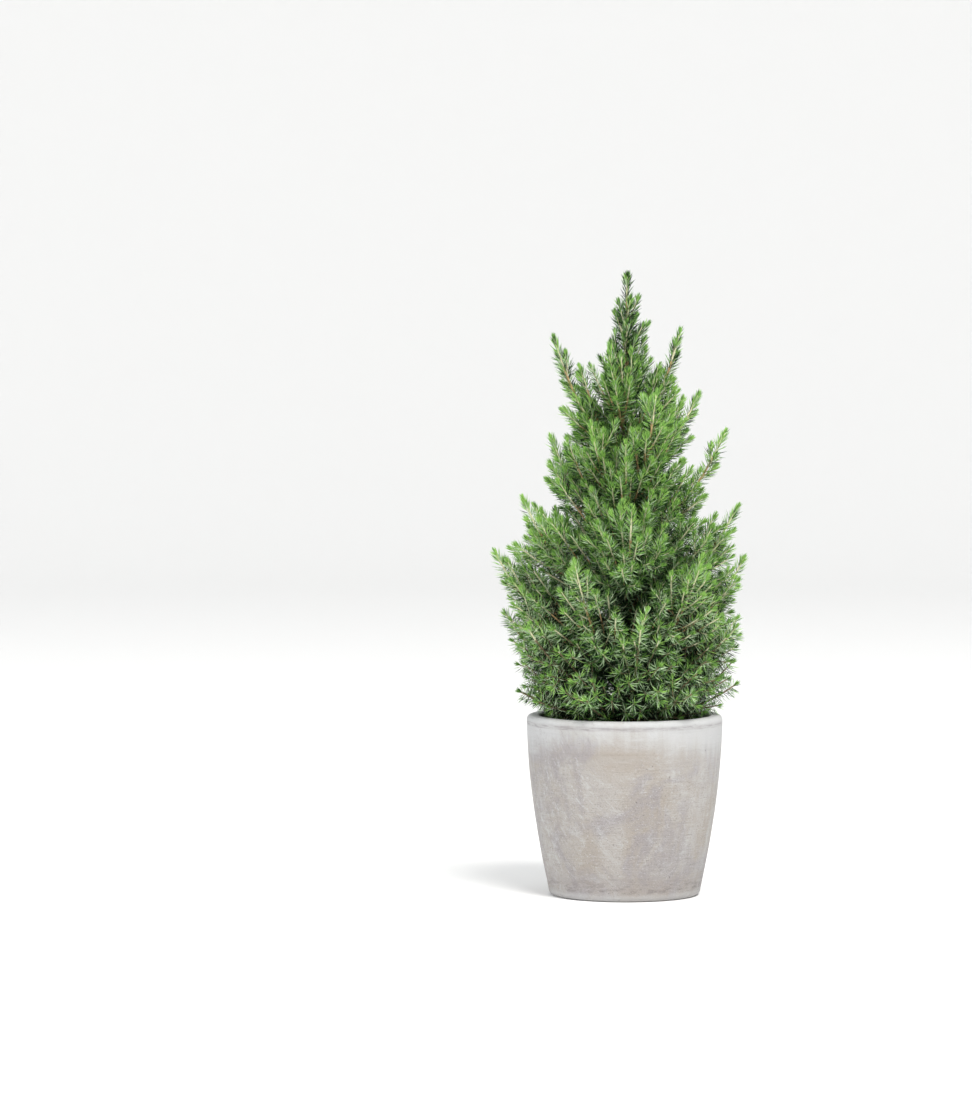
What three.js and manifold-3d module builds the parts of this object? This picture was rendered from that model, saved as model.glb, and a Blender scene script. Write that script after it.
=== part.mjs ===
// A young dwarf spruce growing in a round clay pot, 0.75 m tall.
// Millimetres, +Z up. The origin is the centre of the pot's flat underside, and -Y faces the viewer.
// The trunk stays whole. Limbs leave it in whorls low in the crown and singly above. Each limb
// carries one mass of needles, which grows by a seeded rule and keeps to its own space: the points
// that are nearer its own stem than any other.
import * as THREE from "three";
import { mergeVertices } from "three/addons/utils/BufferGeometryUtils.js";
import Module from "manifold-3d";

const wasm = await Module();
wasm.setup();

// Driving dimensions
const GAP = 0.3;

const POT = {
  rimRadius: 117.5,
  height: 216,
  flareDrop: 28.3, // how much narrower the foot is than the rim, before its edge is rounded
  flarePower: 1.8, // above 1, the wall is upright at the rim and leans in towards the foot
  wall: 15.7,
  floor: 18,
  lipRound: 6,
  footRound: 7,
  innerRound: 0.6, // of the lip's rounding, on the inside edge
  wallFrom: 17.5, // height of the wall's first ring above the foot's rounding
  footArc: [-90, -10], // degrees of each rounding, from straight out
  lipArc: [30, 90],
  innerArc: [90, 180],
  footSteps: 3,
  lipSteps: 2,
  sides: 24,
  wallSteps: 4,
};

const SOIL = {
  belowRim: 19,
  crown: 3, // the surface is a little higher in the middle
  flatRadius: 22, // level ground round the trunk's foot
  wallSteps: 2, // of its own side and of the pot's inside, so that they stay parallel
};
const SOIL_TOP = POT.height - SOIL.belowRim;
const SOIL_EDGE = SOIL_TOP - SOIL.crown;

const TRUNK = {
  radius: 7,
  flareRadius: 5.5, // added at the root flare
  flareHeight: 9,
  tipRadius: 1.7,
  top: 628,
  sway: 2.2, // how far the trunk wanders from the pot's axis
  swayTurns: 1.3,
  sides: 12,
  steps: 9,
  crowding: 1.7, // above 1, the steps are closer together at the root flare
};

const LEADER = { tip: 744, shoots: 5 };

const BOUGH = {
  radius: 3.4,
  tipRadius: 2.1,
  arch: 0.62, // how far out the limb's bend lies, as a share of its reach
  lift: 0.18, // and how far up, as a share of its rise
  stagger: 9, // every other limb of a whorl leaves the trunk this much higher
  sides: 5,
  steps: 2,
};

const SHOOT = {
  radius: 1.6,
  stemRadius: 2.1, // of a mass's own stem
  tipRadius: 0.7,
  bud: 2, // how far the pointed bud stands out past the last ring
  needle: 15,
  splay: 50, // degrees between a needle and its stem
  tipSplay: 20, // and at the very tip
  closing: 3, // above 1, needles close up only near the tip
  step: 8, // between rings of needles
  sides: 4,
  hidden: 0.79, // the share of a mass's stem that the core hides
  hiddenSteps: 3,
  fewest: 4, // rings that a side shoot must have room for
  count: 4, // side shoots of a mass
  low: 28, // how far a shoot stands out of the core low in the crown
  high: 40, // and near the top
  longest: 1.25, // at the foot of the stem, as a share of that
  shortest: 0.6, // and near its tip
  uneven: 0.1, // share by which lengths differ
  first: 0.19, // the share of the stem where the first side shoot leaves it
  last: 0.73,
  branching: 52, // degrees between a side shoot and the stem that it leaves
  spread: 150, // degrees round the stem, either way from the lit side
  stray: 15, // degrees by which that differs
  pull: 0.18, // how far a shoot turns towards the light at each ring
};

// Shoots turn outwards low in the crown and upwards near its top.
const LIGHT = { lowOut: 1, highOut: 0.32, lowUp: 0.1, highUp: 1 };

// The crown's outline, as a radius at each height.
const CROWN = [
  [200, 108],
  [245, 134],
  [320, 146],
  [400, 150],
  [445, 138],
  [490, 118],
  [560, 96],
  [620, 74],
  [680, 46],
  [750, 6],
];

// The inner part of a mass, where needles are too dense to see between them.
const CORE = {
  least: 3.2, // its smallest radius anywhere
  low: 80, // its largest radius low in the crown
  high: 8, // and near the top
  thinning: 0.6, // below 1, it thins more quickly low in the crown
  fill: 0.94, // the share of the mass's own space that it takes
  from: 0.06,
  to: 0.88, // shares of the stem's length
  swell: [0.3, 0.76], // the part of half a sine wave that its length follows
  uneven: [0.9, 1.05],
  hollows: 0.7, // every other corner is drawn in to this share
  sunk: 0.8, // side shoots come out of it at this share of its radius
  inset: 12, // it stays this far inside the crown's outline
  steps: 5,
  sides: 6,
};

const CLEAR = {
  space: 0.9, // from the edge of a mass's own space
  limb: 1.2, // from the bark of any limb
  pot: 2, // from the rim and the soil
  rimSlope: 26, // inside the rim the lowest foliage rises over this distance to clear it
  needle: 2, // a needle's tip is this much nearer its own shoot than any other
  along: 0.4, // and so is a point this share of the way to it
};

const GOLDEN_ANGLE = 137.508;
const ROOM_STEP = 2; // of the search for a core's reach
const STEEP = 0.9; // a tangent that rises more than this is nearly upright
const WELD = 1e-4; // points nearer than this are one
const FRAMES = 12; // places along a stem where side shoots may start
const AXIS_STEPS = 14;

// Lower whorls, from the rim up: where they leave the trunk, the share of each limb that has no
// needles, and the reach and height of the tips on the left (-X) and on the right (+X), as the crown
// is not quite even.
const WHORLS = [
  {
    name: "skirt",
    start: 206,
    bare: 0.26,
    left: [128, 243],
    right: [132, 250],
    azimuths: [2, 74, 140, 190, 248, 306],
  },
  {
    name: "low",
    start: 226,
    bare: 0.24,
    left: [148, 330],
    right: [143, 322],
    azimuths: [32, 104, 166, 218, 276, 340],
  },
  {
    name: "middle",
    start: 262,
    bare: 0.24,
    left: [158, 402],
    right: [146, 394],
    azimuths: [3, 70, 138, 184, 246, 306],
  },
  {
    name: "shoulder",
    start: 342,
    bare: 0.22,
    left: [128, 470],
    right: [138, 462],
    azimuths: [352, 102, 196, 272],
  },
];

// Upper limbs, which grow singly and carry needles from the trunk on.
const SPIRES = [
  { name: "rightarm", azimuth: 352, start: 424, reach: 119, tip: 552 },
  { name: "leftarm", azimuth: 172, start: 436, reach: 88, tip: 545 },
  { name: "backarm", azimuth: 72, start: 440, reach: 96, tip: 560 },
  { name: "frontarm", azimuth: 296, start: 448, reach: 80, tip: 600 },
  { name: "frontspray", azimuth: 236, start: 458, reach: 74, tip: 564 },
  { name: "backspray", azimuth: 130, start: 486, reach: 76, tip: 600 },
  { name: "rightspray", azimuth: 18, start: 502, reach: 92, tip: 596 },
  { name: "leftspire", azimuth: 179, start: 530, reach: 84, tip: 664 },
  { name: "rightspire", azimuth: 354, start: 548, reach: 65, tip: 672 },
  { name: "frontspire", azimuth: 262, start: 556, reach: 38, tip: 646 },
  { name: "backspire", azimuth: 82, start: 570, reach: 44, tip: 660 },
];

const SEED = 10;

// Small tools
const rad = THREE.MathUtils.degToRad;
const lerp = THREE.MathUtils.lerp;
const V = (x, y, z) => new THREE.Vector3(x, y, z);
const UP = V(0, 0, 1);

// A seeded sequence of numbers from 0 to 1, by a linear congruential rule.
function dice(seed) {
  let state = seed >>> 0;
  return (low = 0, high = 1) => {
    state = (Math.imul(state, 1664525) + 1013904223) >>> 0;
    return low + ((high - low) * state) / 4294967296;
  };
}

function toManifold(geometry) {
  const bare = geometry.index ? geometry.toNonIndexed() : geometry.clone();
  bare.deleteAttribute("normal");
  bare.deleteAttribute("uv");
  const merged = mergeVertices(bare, WELD);
  return new wasm.Manifold(
    new wasm.Mesh({
      numProp: 3,
      vertProperties: new Float32Array(merged.attributes.position.array),
      triVerts: new Uint32Array(merged.index.array),
    }),
  );
}

// The largest outer skin of a solid: loose scraps are dropped and sealed hollows are filled.
function outerSkin(solid) {
  return solid.decompose().reduce((best, body) => (body.volume() > best.volume() ? body : best));
}

function toGeometry(solid) {
  const mesh = solid.getMesh();
  const geometry = new THREE.BufferGeometry();
  geometry.setAttribute("position", new THREE.BufferAttribute(new Float32Array(mesh.vertProperties), 3));
  geometry.setIndex(new THREE.BufferAttribute(new Uint32Array(mesh.triVerts), 1));
  geometry.computeVertexNormals();
  return geometry;
}

// Skins a list of closed rings, each with the same number of points, with a fan at both ends.
function skinRings(rings, startPoint, endPoint) {
  const sides = rings[0].length;
  const points = [...rings.flat(), startPoint, endPoint];
  const start = points.length - 2;
  const end = points.length - 1;
  const index = [];
  for (let i = 0; i < sides; i++) {
    const next = (i + 1) % sides;
    index.push(start, next, i);
    for (let j = 0; j + 1 < rings.length; j++) {
      const a = j * sides + i;
      const b = j * sides + next;
      index.push(a, b, a + sides, b, b + sides, a + sides);
    }
    index.push((rings.length - 1) * sides + i, (rings.length - 1) * sides + next, end);
  }
  const geometry = new THREE.BufferGeometry();
  geometry.setAttribute("position", new THREE.Float32BufferAttribute(points.flatMap((p) => p.toArray()), 3));
  geometry.setIndex(index);
  return geometry;
}

// Frames along a list of points: each has the point, the tangent and two sideways axes that turn
// as little as possible from one point to the next.
function framesAlong(points) {
  let side = null;
  return points.map((at, i) => {
    const before = points[Math.max(i - 1, 0)];
    const tangent = points[Math.min(i + 1, points.length - 1)].clone().sub(before).normalize();
    const guide = side ?? (Math.abs(tangent.z) > STEEP ? V(1, 0, 0) : UP.clone());
    side = guide.clone().addScaledVector(tangent, -guide.dot(tangent)).normalize();
    return { at, tangent, side, across: tangent.clone().cross(side) };
  });
}

const around = (frame, angle, radius, forward = 0) =>
  frame.at
    .clone()
    .addScaledVector(frame.side, Math.cos(angle) * radius)
    .addScaledVector(frame.across, Math.sin(angle) * radius)
    .addScaledVector(frame.tangent, forward);

// The frame of a ring that stands upright, against the trunk that a limb leaves.
function uprightFrame({ at, tangent }) {
  const level = tangent.clone().setZ(0).normalize();
  return { at, tangent: level, side: UP, across: level.clone().cross(UP) };
}

// A round limb that tapers by radiusAt(share) along points, with its first ring against the trunk.
function limb(points, sides, radiusAt) {
  const frames = framesAlong(points);
  frames[0] = uprightFrame(frames[0]);
  const rings = frames.map((frame, j) =>
    Array.from({ length: sides }, (_, i) =>
      around(frame, (2 * Math.PI * i) / sides, radiusAt(j / (frames.length - 1))),
    ),
  );
  return skinRings(rings, points[0], points[points.length - 1]);
}

// The pot
const potRadius = (z) =>
  POT.rimRadius - POT.flareDrop * Math.pow(Math.max(0, 1 - z / POT.height), POT.flarePower);
const innerRadius = (z) => potRadius(z) - POT.wall;

function arcPoints(centreR, centreZ, radius, degrees, steps) {
  return Array.from({ length: steps + 1 }, (_, i) => {
    const angle = rad(lerp(...degrees, i / steps));
    return new THREE.Vector2(centreR + radius * Math.cos(angle), centreZ + radius * Math.sin(angle));
  });
}

function wallPoints(radiusAt, fromZ, toZ, steps) {
  return Array.from({ length: steps + 1 }, (_, i) => {
    const z = lerp(fromZ, toZ, i / steps);
    return new THREE.Vector2(radiusAt(z), z);
  });
}

function pot() {
  const { height, lipRound, footRound, floor, wallSteps, sides } = POT;
  const lipZ = height - lipRound;
  const inner = lipRound * POT.innerRound;
  const profile = [
    new THREE.Vector2(0, 0),
    ...arcPoints(potRadius(footRound) - footRound, footRound, footRound, POT.footArc, POT.footSteps),
    ...wallPoints(potRadius, POT.wallFrom, lipZ, wallSteps),
    ...arcPoints(potRadius(lipZ) - lipRound, lipZ, lipRound, POT.lipArc, POT.lipSteps),
    ...arcPoints(innerRadius(lipZ) + inner, height - inner, inner, POT.innerArc, POT.lipSteps),
    ...wallPoints(innerRadius, SOIL_EDGE, floor, SOIL.wallSteps),
    new THREE.Vector2(0, floor),
  ];
  return new THREE.LatheGeometry(profile, sides).rotateX(Math.PI / 2);
}

function soil() {
  const bottom = POT.floor + GAP;
  const side = wallPoints((z) => innerRadius(z) - GAP, POT.floor, SOIL_EDGE, SOIL.wallSteps);
  side[0].setY(bottom);
  const profile = [
    new THREE.Vector2(0, bottom),
    ...side,
    new THREE.Vector2(SOIL.flatRadius, SOIL_TOP),
    new THREE.Vector2(0, SOIL_TOP),
  ];
  // The walls are lines between the lathe's corners, so the same number of sides keeps the gap even.
  return new THREE.LatheGeometry(profile, POT.sides).rotateX(Math.PI / 2);
}

// The trunk's centre line, which carries on into the leader
const TRUNK_FOOT = SOIL_TOP + GAP;

function trunkPoint(z) {
  const turn = (2 * Math.PI * TRUNK.swayTurns * (z - TRUNK_FOOT)) / (LEADER.tip - TRUNK_FOOT);
  return V(TRUNK.sway * Math.sin(turn), TRUNK.sway * (Math.cos(turn) - 1), z);
}

function trunkRadius(z) {
  const share = (z - TRUNK_FOOT) / (TRUNK.top - TRUNK_FOOT);
  const flare = TRUNK.flareRadius * Math.exp(-(z - TRUNK_FOOT) / TRUNK.flareHeight);
  return lerp(TRUNK.radius, TRUNK.tipRadius, share) + flare;
}

function trunk() {
  const heights = Array.from({ length: TRUNK.steps + 1 }, (_, i) =>
    lerp(TRUNK_FOOT, TRUNK.top, Math.pow(i / TRUNK.steps, TRUNK.crowding)),
  );
  const rings = heights.map((z) =>
    Array.from({ length: TRUNK.sides }, (_, i) => {
      const angle = (2 * Math.PI * i) / TRUNK.sides;
      const r = trunkRadius(z);
      return trunkPoint(z).add(V(r * Math.cos(angle), r * Math.sin(angle), 0));
    }),
  );
  return skinRings(rings, trunkPoint(TRUNK_FOOT), trunkPoint(TRUNK.top));
}

// A limb's centre line: a bent path from the trunk's bark, out and then up, to its furthest tip.
function limbCurve({ azimuth, start, reach, tip }) {
  const out = V(Math.cos(rad(azimuth)), Math.sin(rad(azimuth)), 0);
  const foot = trunkPoint(start).addScaledVector(out, trunkRadius(start - BOUGH.radius) + GAP);
  const end = out.clone().multiplyScalar(reach).setZ(tip);
  const bend = out.clone().multiplyScalar(reach * BOUGH.arch).setZ(lerp(start, tip, BOUGH.lift));
  return new THREE.QuadraticBezierCurve3(foot, bend, end);
}

function sampleCurve(curve, from, to, steps) {
  return Array.from({ length: steps + 1 }, (_, i) => curve.getPoint(lerp(from, to, i / steps)));
}

// The whole list of limbs: the whorls by rule, then the spires.
function limbList() {
  const list = [];
  WHORLS.forEach(({ name, start, bare, left, right, azimuths }, tier) => {
    const roll = dice(1000 + tier);
    azimuths.forEach((azimuth, i) => {
      const rightward = 0.5 + 0.5 * Math.cos(rad(azimuth));
      list.push({
        name: name + (i + 1),
        azimuth,
        bare,
        start: start + (i % 2) * BOUGH.stagger + roll(-2, 2),
        reach: lerp(left[0], right[0], rightward) * roll(0.965, 1.0),
        tip: lerp(left[1], right[1], rightward) + roll(-9, 9),
      });
    });
  });
  return [...list, ...SPIRES.map((spire) => ({ ...spire, bare: 0 }))];
}

const LIMBS = limbList().map((size) => {
  const curve = limbCurve(size);
  const axis = sampleCurve(curve, 0, 1, AXIS_STEPS);
  return { ...size, curve, axis, boughAxis: sampleCurve(curve, 0, size.bare, AXIS_STEPS / 2) };
});
const TRUNK_AXIS = Array.from({ length: 2 * AXIS_STEPS }, (_, i) =>
  trunkPoint(lerp(TRUNK_FOOT, LEADER.tip, i / (2 * AXIS_STEPS - 1))),
);

const segment = new THREE.Line3();
const nearest = new THREE.Vector3();
function distanceTo(axis, point) {
  let least = Infinity;
  for (let i = 0; i + 1 < axis.length; i++) {
    segment.set(axis[i], axis[i + 1]).closestPointToPoint(point, true, nearest);
    least = Math.min(least, nearest.distanceTo(point));
  }
  return least;
}

function clearOfPot(point) {
  const insideRim = POT.rimRadius - POT.wall - CLEAR.pot - Math.hypot(point.x, point.y);
  const share = THREE.MathUtils.clamp(1 - insideRim / CLEAR.rimSlope, 0, 1);
  return point.z > lerp(SOIL_TOP, POT.height, share) + CLEAR.pot;
}

function clearOfTrunk(point, distance) {
  return point.z > TRUNK.top + CLEAR.limb * 2 || distance > trunkRadius(point.z) + CLEAR.limb;
}

// True where a point is inside the space of the limb with this index (-1 is the leader), clear of
// every limb, the pot and the soil.
function inOwnSpace(index, point) {
  const trunkDistance = distanceTo(TRUNK_AXIS, point);
  if (!clearOfPot(point) || !clearOfTrunk(point, trunkDistance)) return false;
  const own = index < 0 ? trunkDistance : distanceTo(LIMBS[index].axis, point);
  const least = own + 2 * CLEAR.space;
  if (index >= 0 && trunkDistance < least) return false;
  return LIMBS.every(({ axis, boughAxis, bare }, i) => {
    if (bare > 0 && distanceTo(boughAxis, point) < BOUGH.radius + CLEAR.limb) return false;
    return i === index || distanceTo(axis, point) > least;
  });
}

function crownRadius(z) {
  const above = CROWN.findIndex(([height]) => height > z);
  if (above <= 0) return above < 0 ? 0 : CROWN[0][1];
  const [[fromZ, fromRadius], [toZ, toRadius]] = CROWN.slice(above - 1, above + 1);
  return lerp(fromRadius, toRadius, (z - fromZ) / (toZ - fromZ));
}

// 0 at the pot's rim and 1 at the tip of the leader.
const heightShare = (point) =>
  THREE.MathUtils.clamp((point.z - POT.height) / (LEADER.tip - POT.height), 0, 1);

// Which way shoots turn as they grow.
function growthWay(point) {
  const share = Math.sqrt(heightShare(point));
  return V(point.x, point.y, 0)
    .normalize()
    .multiplyScalar(lerp(LIGHT.lowOut, LIGHT.highOut, share))
    .setZ(lerp(LIGHT.lowUp, LIGHT.highUp, share))
    .normalize();
}

// Turns a frame round its stem so that its side axis faces the light.
function facingLight(frame) {
  const light = growthWay(frame.at);
  const side = light.addScaledVector(frame.tangent, -light.dot(frame.tangent)).normalize();
  return { ...frame, side, across: frame.tangent.clone().cross(side) };
}

// A side shoot's centre line: it leaves the stem at an angle and bends towards the light. Its first
// step is long, as that part is inside the core.
function shootPath(frame, angle, sunk, length) {
  const outward = around({ ...frame, at: V(0, 0, 0) }, angle, 1);
  const way = frame.tangent
    .clone()
    .multiplyScalar(Math.cos(rad(SHOOT.branching)))
    .addScaledVector(outward, Math.sin(rad(SHOOT.branching)));
  const points = [frame.at.clone(), frame.at.clone().addScaledVector(way, sunk)];
  for (let i = 1; i <= Math.round(length / SHOOT.step); i++) {
    way.lerp(growthWay(points[i]), SHOOT.pull).normalize();
    points.push(points[i].clone().addScaledVector(way, SHOOT.step));
  }
  return points;
}

// A shoot with its needles: a slim stem on which every other corner of each ring is drawn out into
// a needle that leans forward. keeps(tip, root) says whether a needle may stand there, bare is how
// many rings at the start have none, and twist turns the rings.
function needledShoot(points, { radius, bare, twist, onTrunk, keeps }) {
  const frames = framesAlong(points);
  if (onTrunk) frames[0] = uprightFrame(frames[0]);
  const last = frames.length - 1;
  const rings = frames.map((frame, j) => {
    const share = j / last;
    const here = lerp(radius, SHOOT.tipRadius, share);
    const splay = rad(lerp(SHOOT.splay, SHOOT.tipSplay, Math.pow(share, SHOOT.closing)));
    return Array.from({ length: SHOOT.sides }, (_, i) => {
      const angle = (2 * Math.PI * i) / SHOOT.sides + twist;
      const root = around(frame, angle, here);
      const tip = around(frame, angle, here + SHOOT.needle * Math.sin(splay), SHOOT.needle * Math.cos(splay));
      const isNeedle = (i + j) % 2 === 0 && j >= bare && j < last && keeps(tip, root);
      return isNeedle ? tip : root;
    });
  });
  const bud = points[last].clone().addScaledVector(frames[last].tangent, SHOOT.bud);
  return toManifold(skinRings(rings, points[0], bud));
}

// How far the core reaches from the stem in one direction: a share of the room up to the edge of
// the mass's own space. It stays on its own side of the trunk.
function coreReach(frame, angle, fits) {
  const largest = lerp(CORE.low, CORE.high, Math.pow(heightShare(frame.at), CORE.thinning));
  const out = frame.at.clone().setZ(0).normalize();
  const isRoom = (point) =>
    fits(point) &&
    Math.hypot(point.x, point.y) < crownRadius(point.z) - CORE.inset &&
    (point.z > TRUNK.top || point.dot(out) > trunkRadius(point.z) + TRUNK.sway + CLEAR.limb);
  let room = CORE.least;
  while (room < largest && isRoom(around(frame, angle, room + ROOM_STEP))) room += ROOM_STEP;
  return room * CORE.fill;
}

function core(curve, begin, fits, roll) {
  const shareAt = (t) => lerp(begin, 1, t);
  const frames = framesAlong(sampleCurve(curve, shareAt(CORE.from), shareAt(CORE.to), CORE.steps));
  const rings = frames.map((frame, j) => {
    const swell = Math.sin(Math.PI * lerp(...CORE.swell, j / CORE.steps));
    return Array.from({ length: CORE.sides }, (_, i) => {
      const angle = (2 * Math.PI * i) / CORE.sides;
      const dent = (i + j) % 2 ? CORE.hollows : 1;
      return around(frame, angle, coreReach(frame, angle, fits) * swell * dent * roll(...CORE.uneven));
    });
  });
  return toManifold(skinRings(rings, curve.getPoint(shareAt(CORE.from / 2)), curve.getPoint(shareAt(1))));
}

// The longest first part of a path that stays inside the mass's space.
function partThatFits(points, fits) {
  const out = points.findIndex((p, i) => i > 0 && !fits(p));
  return out < 0 ? points : points.slice(0, out);
}

// The centre lines of a mass's shoots: its stem, with fewer points where the core hides it, and the
// side shoots, which leave the stem by the golden angle.
function shootPaths(curve, begin, count, fits, roll) {
  const hidden = lerp(begin, 1, SHOOT.hidden);
  const tipSteps = Math.round((curve.getLength() * (1 - hidden)) / SHOOT.step);
  const inner = sampleCurve(curve, begin, hidden, SHOOT.hiddenSteps);
  const paths = [[...inner, ...sampleCurve(curve, hidden, 1, tipSteps).slice(1)]];
  const frames = framesAlong(sampleCurve(curve, begin, 1, FRAMES)).map(facingLight);
  for (let k = 0; k < count; k++) {
    const share = lerp(SHOOT.first, SHOOT.last, k / (count - 1));
    const frame = frames[Math.round(share * FRAMES)];
    const turn = ((k + 0.5) * GOLDEN_ANGLE) / 360;
    const angle = rad(SHOOT.spread * (2 * (turn % 1) - 1) + roll(-SHOOT.stray, SHOOT.stray));
    const length =
      lerp(SHOOT.low, SHOOT.high, heightShare(frame.at)) *
      lerp(SHOOT.longest, SHOOT.shortest, share) *
      roll(1 - SHOOT.uneven, 1 + SHOOT.uneven);
    const sunk = coreReach(frame, angle, fits) * CORE.sunk;
    const path = partThatFits(shootPath(frame, angle, sunk, length), fits);
    if (path.length >= SHOOT.fewest) paths.push(path);
  }
  return paths;
}

// One mass. A needle is kept where its tip is nearer its own shoot than the mass's others, so that
// few cross.
function foliage({ index, curve, begin, count, seed }) {
  const roll = dice(seed);
  const fits = (point) => inOwnSpace(index, point);
  const paths = shootPaths(curve, begin, count, fits, roll);
  const shoots = paths.map((path, i) => {
    const nearOwn = (point) =>
      paths.every((other, j) => j === i || distanceTo(other, point) > distanceTo(path, point) + CLEAR.needle);
    const keeps = (tip, root) => fits(tip) && nearOwn(tip) && nearOwn(root.clone().lerp(tip, CLEAR.along));
    const isStem = i === 0;
    return needledShoot(path, {
      radius: isStem ? SHOOT.stemRadius : SHOOT.radius,
      bare: isStem ? SHOOT.hiddenSteps : 1,
      twist: roll(0, 1),
      onTrunk: isStem && index >= 0 && LIMBS[index].bare === 0,
      keeps,
    });
  });
  return toGeometry(outerSkin(wasm.Manifold.union([core(curve, begin, fits, roll), ...shoots])));
}

// Materials
const finish = (color, roughness) => new THREE.MeshStandardMaterial({ color, roughness, metalness: 0 });
const CLAY = finish(0xcbc0b6, 0.9);
const PEAT = finish(0x2b2119, 1);
const BARK = finish(0x6f543c, 0.95);
const NEEDLES = finish(0x4f7c36, 0.65);

// The tree in its pot
const plant = new THREE.Group();

function add(name, geometry, material) {
  const mesh = new THREE.Mesh(geometry, material);
  mesh.name = name;
  plant.add(mesh);
}

add("pot", pot(), CLAY);
add("soil", soil(), PEAT);
add("trunk", trunk(), BARK);

LIMBS.forEach(({ name, curve, bare }, index) => {
  if (bare > 0) {
    const boughPoints = sampleCurve(curve, 0, bare, BOUGH.steps);
    add("bough_" + name, limb(boughPoints, BOUGH.sides, (t) => lerp(BOUGH.radius, BOUGH.tipRadius, t)), BARK);
  }
  const begin = bare + GAP / curve.getLength();
  add("needles_" + name, foliage({ index, curve, begin, count: SHOOT.count, seed: SEED + index }), NEEDLES);
});

const leaderCurve = new THREE.LineCurve3(trunkPoint(TRUNK.top + GAP), trunkPoint(LEADER.tip));
const leader = { index: -1, curve: leaderCurve, begin: 0, count: LEADER.shoots, seed: SEED - 1 };
add("needles_leader", foliage(leader), NEEDLES);

export default plant;
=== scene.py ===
"""A young dwarf spruce in a washed clay pot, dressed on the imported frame.

Lengths are metres where nothing else is said, +Z is up and -Y faces the viewer. The limbs repeat
the rule of the part's source. Finer shoots, twigs and needles grow on from them and keep to the
same crown.
"""
import math
from functools import partial

import bpy
import numpy as np
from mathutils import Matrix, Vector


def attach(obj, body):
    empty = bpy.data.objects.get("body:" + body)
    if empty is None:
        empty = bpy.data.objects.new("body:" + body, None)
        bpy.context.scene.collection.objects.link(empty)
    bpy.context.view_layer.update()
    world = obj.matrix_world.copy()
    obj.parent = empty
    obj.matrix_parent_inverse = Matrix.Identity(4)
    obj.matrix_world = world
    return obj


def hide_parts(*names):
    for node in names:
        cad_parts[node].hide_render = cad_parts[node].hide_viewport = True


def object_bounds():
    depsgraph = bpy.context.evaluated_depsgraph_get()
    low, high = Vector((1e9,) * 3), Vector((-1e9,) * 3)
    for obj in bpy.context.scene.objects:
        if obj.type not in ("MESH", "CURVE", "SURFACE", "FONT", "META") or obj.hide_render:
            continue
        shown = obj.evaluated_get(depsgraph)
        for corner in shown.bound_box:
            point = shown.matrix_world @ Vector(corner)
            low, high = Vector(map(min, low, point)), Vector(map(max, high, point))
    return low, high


bl_info = {
    "name": "Potted dwarf spruce",
    "version": (1, 0, 0),
    "blender": (4, 5, 0),
    "location": "3D View > Sidebar > Spruce",
    "description": "Bark, twigs, needles, clay and soil of a young dwarf spruce in a pot",
    "category": "Object",
}

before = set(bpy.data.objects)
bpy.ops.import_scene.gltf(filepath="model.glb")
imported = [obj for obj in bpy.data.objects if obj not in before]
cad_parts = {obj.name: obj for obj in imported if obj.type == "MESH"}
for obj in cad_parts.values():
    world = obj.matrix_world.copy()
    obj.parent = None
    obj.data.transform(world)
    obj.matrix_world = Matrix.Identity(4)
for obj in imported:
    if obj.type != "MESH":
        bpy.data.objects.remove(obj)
CAD_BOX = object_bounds()
CAD_LOW = np.array(CAD_BOX[0])
CAD_HIGH = np.array(CAD_BOX[1])

MM = 0.001
GOLDEN_ANGLE = math.radians(137.508)
UP = np.array([0.0, 0.0, 1.0])

# Heights of the part's source, and how far below its tip the leader's stem ends
POT_HEIGHT = 0.216
SOIL_TOP = 0.197
SOIL_EDGE = 0.194
TRUNK_FOOT = 0.1973
TRUNK_TOP = 0.628
LEADER_FOOT = 0.24
LEADER_TIP = 0.744
LEADER_BUD = 0.006

# The trunk's radii, how soon its root flare dies away, and its wander from the pot's axis
TRUNK_RADIUS = 0.007
TRUNK_TOP_RADIUS = 0.0017
FLARE_FADE = 0.009
SWAY = 0.0022
SWAY_TURNS = 1.3

# A limb's bend, as shares of its reach and of its rise, and its radius at the trunk
ARCH = 0.62
LIFT = 0.18
BOUGH_RADIUS = 0.0034

# Lower whorls in millimetres: name, start, reach and height of the tips on the left and on the
# right, azimuths. Every second limb of a whorl starts higher by the stagger. The start, the reach,
# as a share of itself, and the tip's height each vary from limb to limb by the whorl's dice.
WHORLS = [
    ("skirt", 206, (128, 243), (132, 250), (2, 74, 140, 190, 248, 306)),
    ("low", 226, (148, 330), (143, 322), (32, 104, 166, 218, 276, 340)),
    ("middle", 262, (158, 402), (146, 394), (3, 70, 138, 184, 246, 306)),
    ("shoulder", 342, (128, 470), (138, 462), (352, 102, 196, 272)),
]
FIRST_SEED = 1000
STAGGER = 9
START_SPREAD = (-2, 2)
REACH_SPREAD = (0.965, 1.0)
TIP_SPREAD = (-9, 9)

# Upper limbs in millimetres: name, azimuth, start, reach, height of the tip.
SPIRES = [
    ("rightarm", 352, 424, 119, 552),
    ("leftarm", 172, 436, 88, 545),
    ("backarm", 72, 440, 96, 560),
    ("frontarm", 296, 448, 80, 600),
    ("frontspray", 236, 458, 74, 564),
    ("backspray", 130, 486, 76, 600),
    ("rightspray", 18, 502, 92, 596),
    ("leftspire", 179, 530, 84, 664),
    ("rightspire", 354, 548, 65, 672),
    ("frontspire", 262, 556, 38, 646),
    ("backspire", 82, 570, 44, 660),
]

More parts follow.
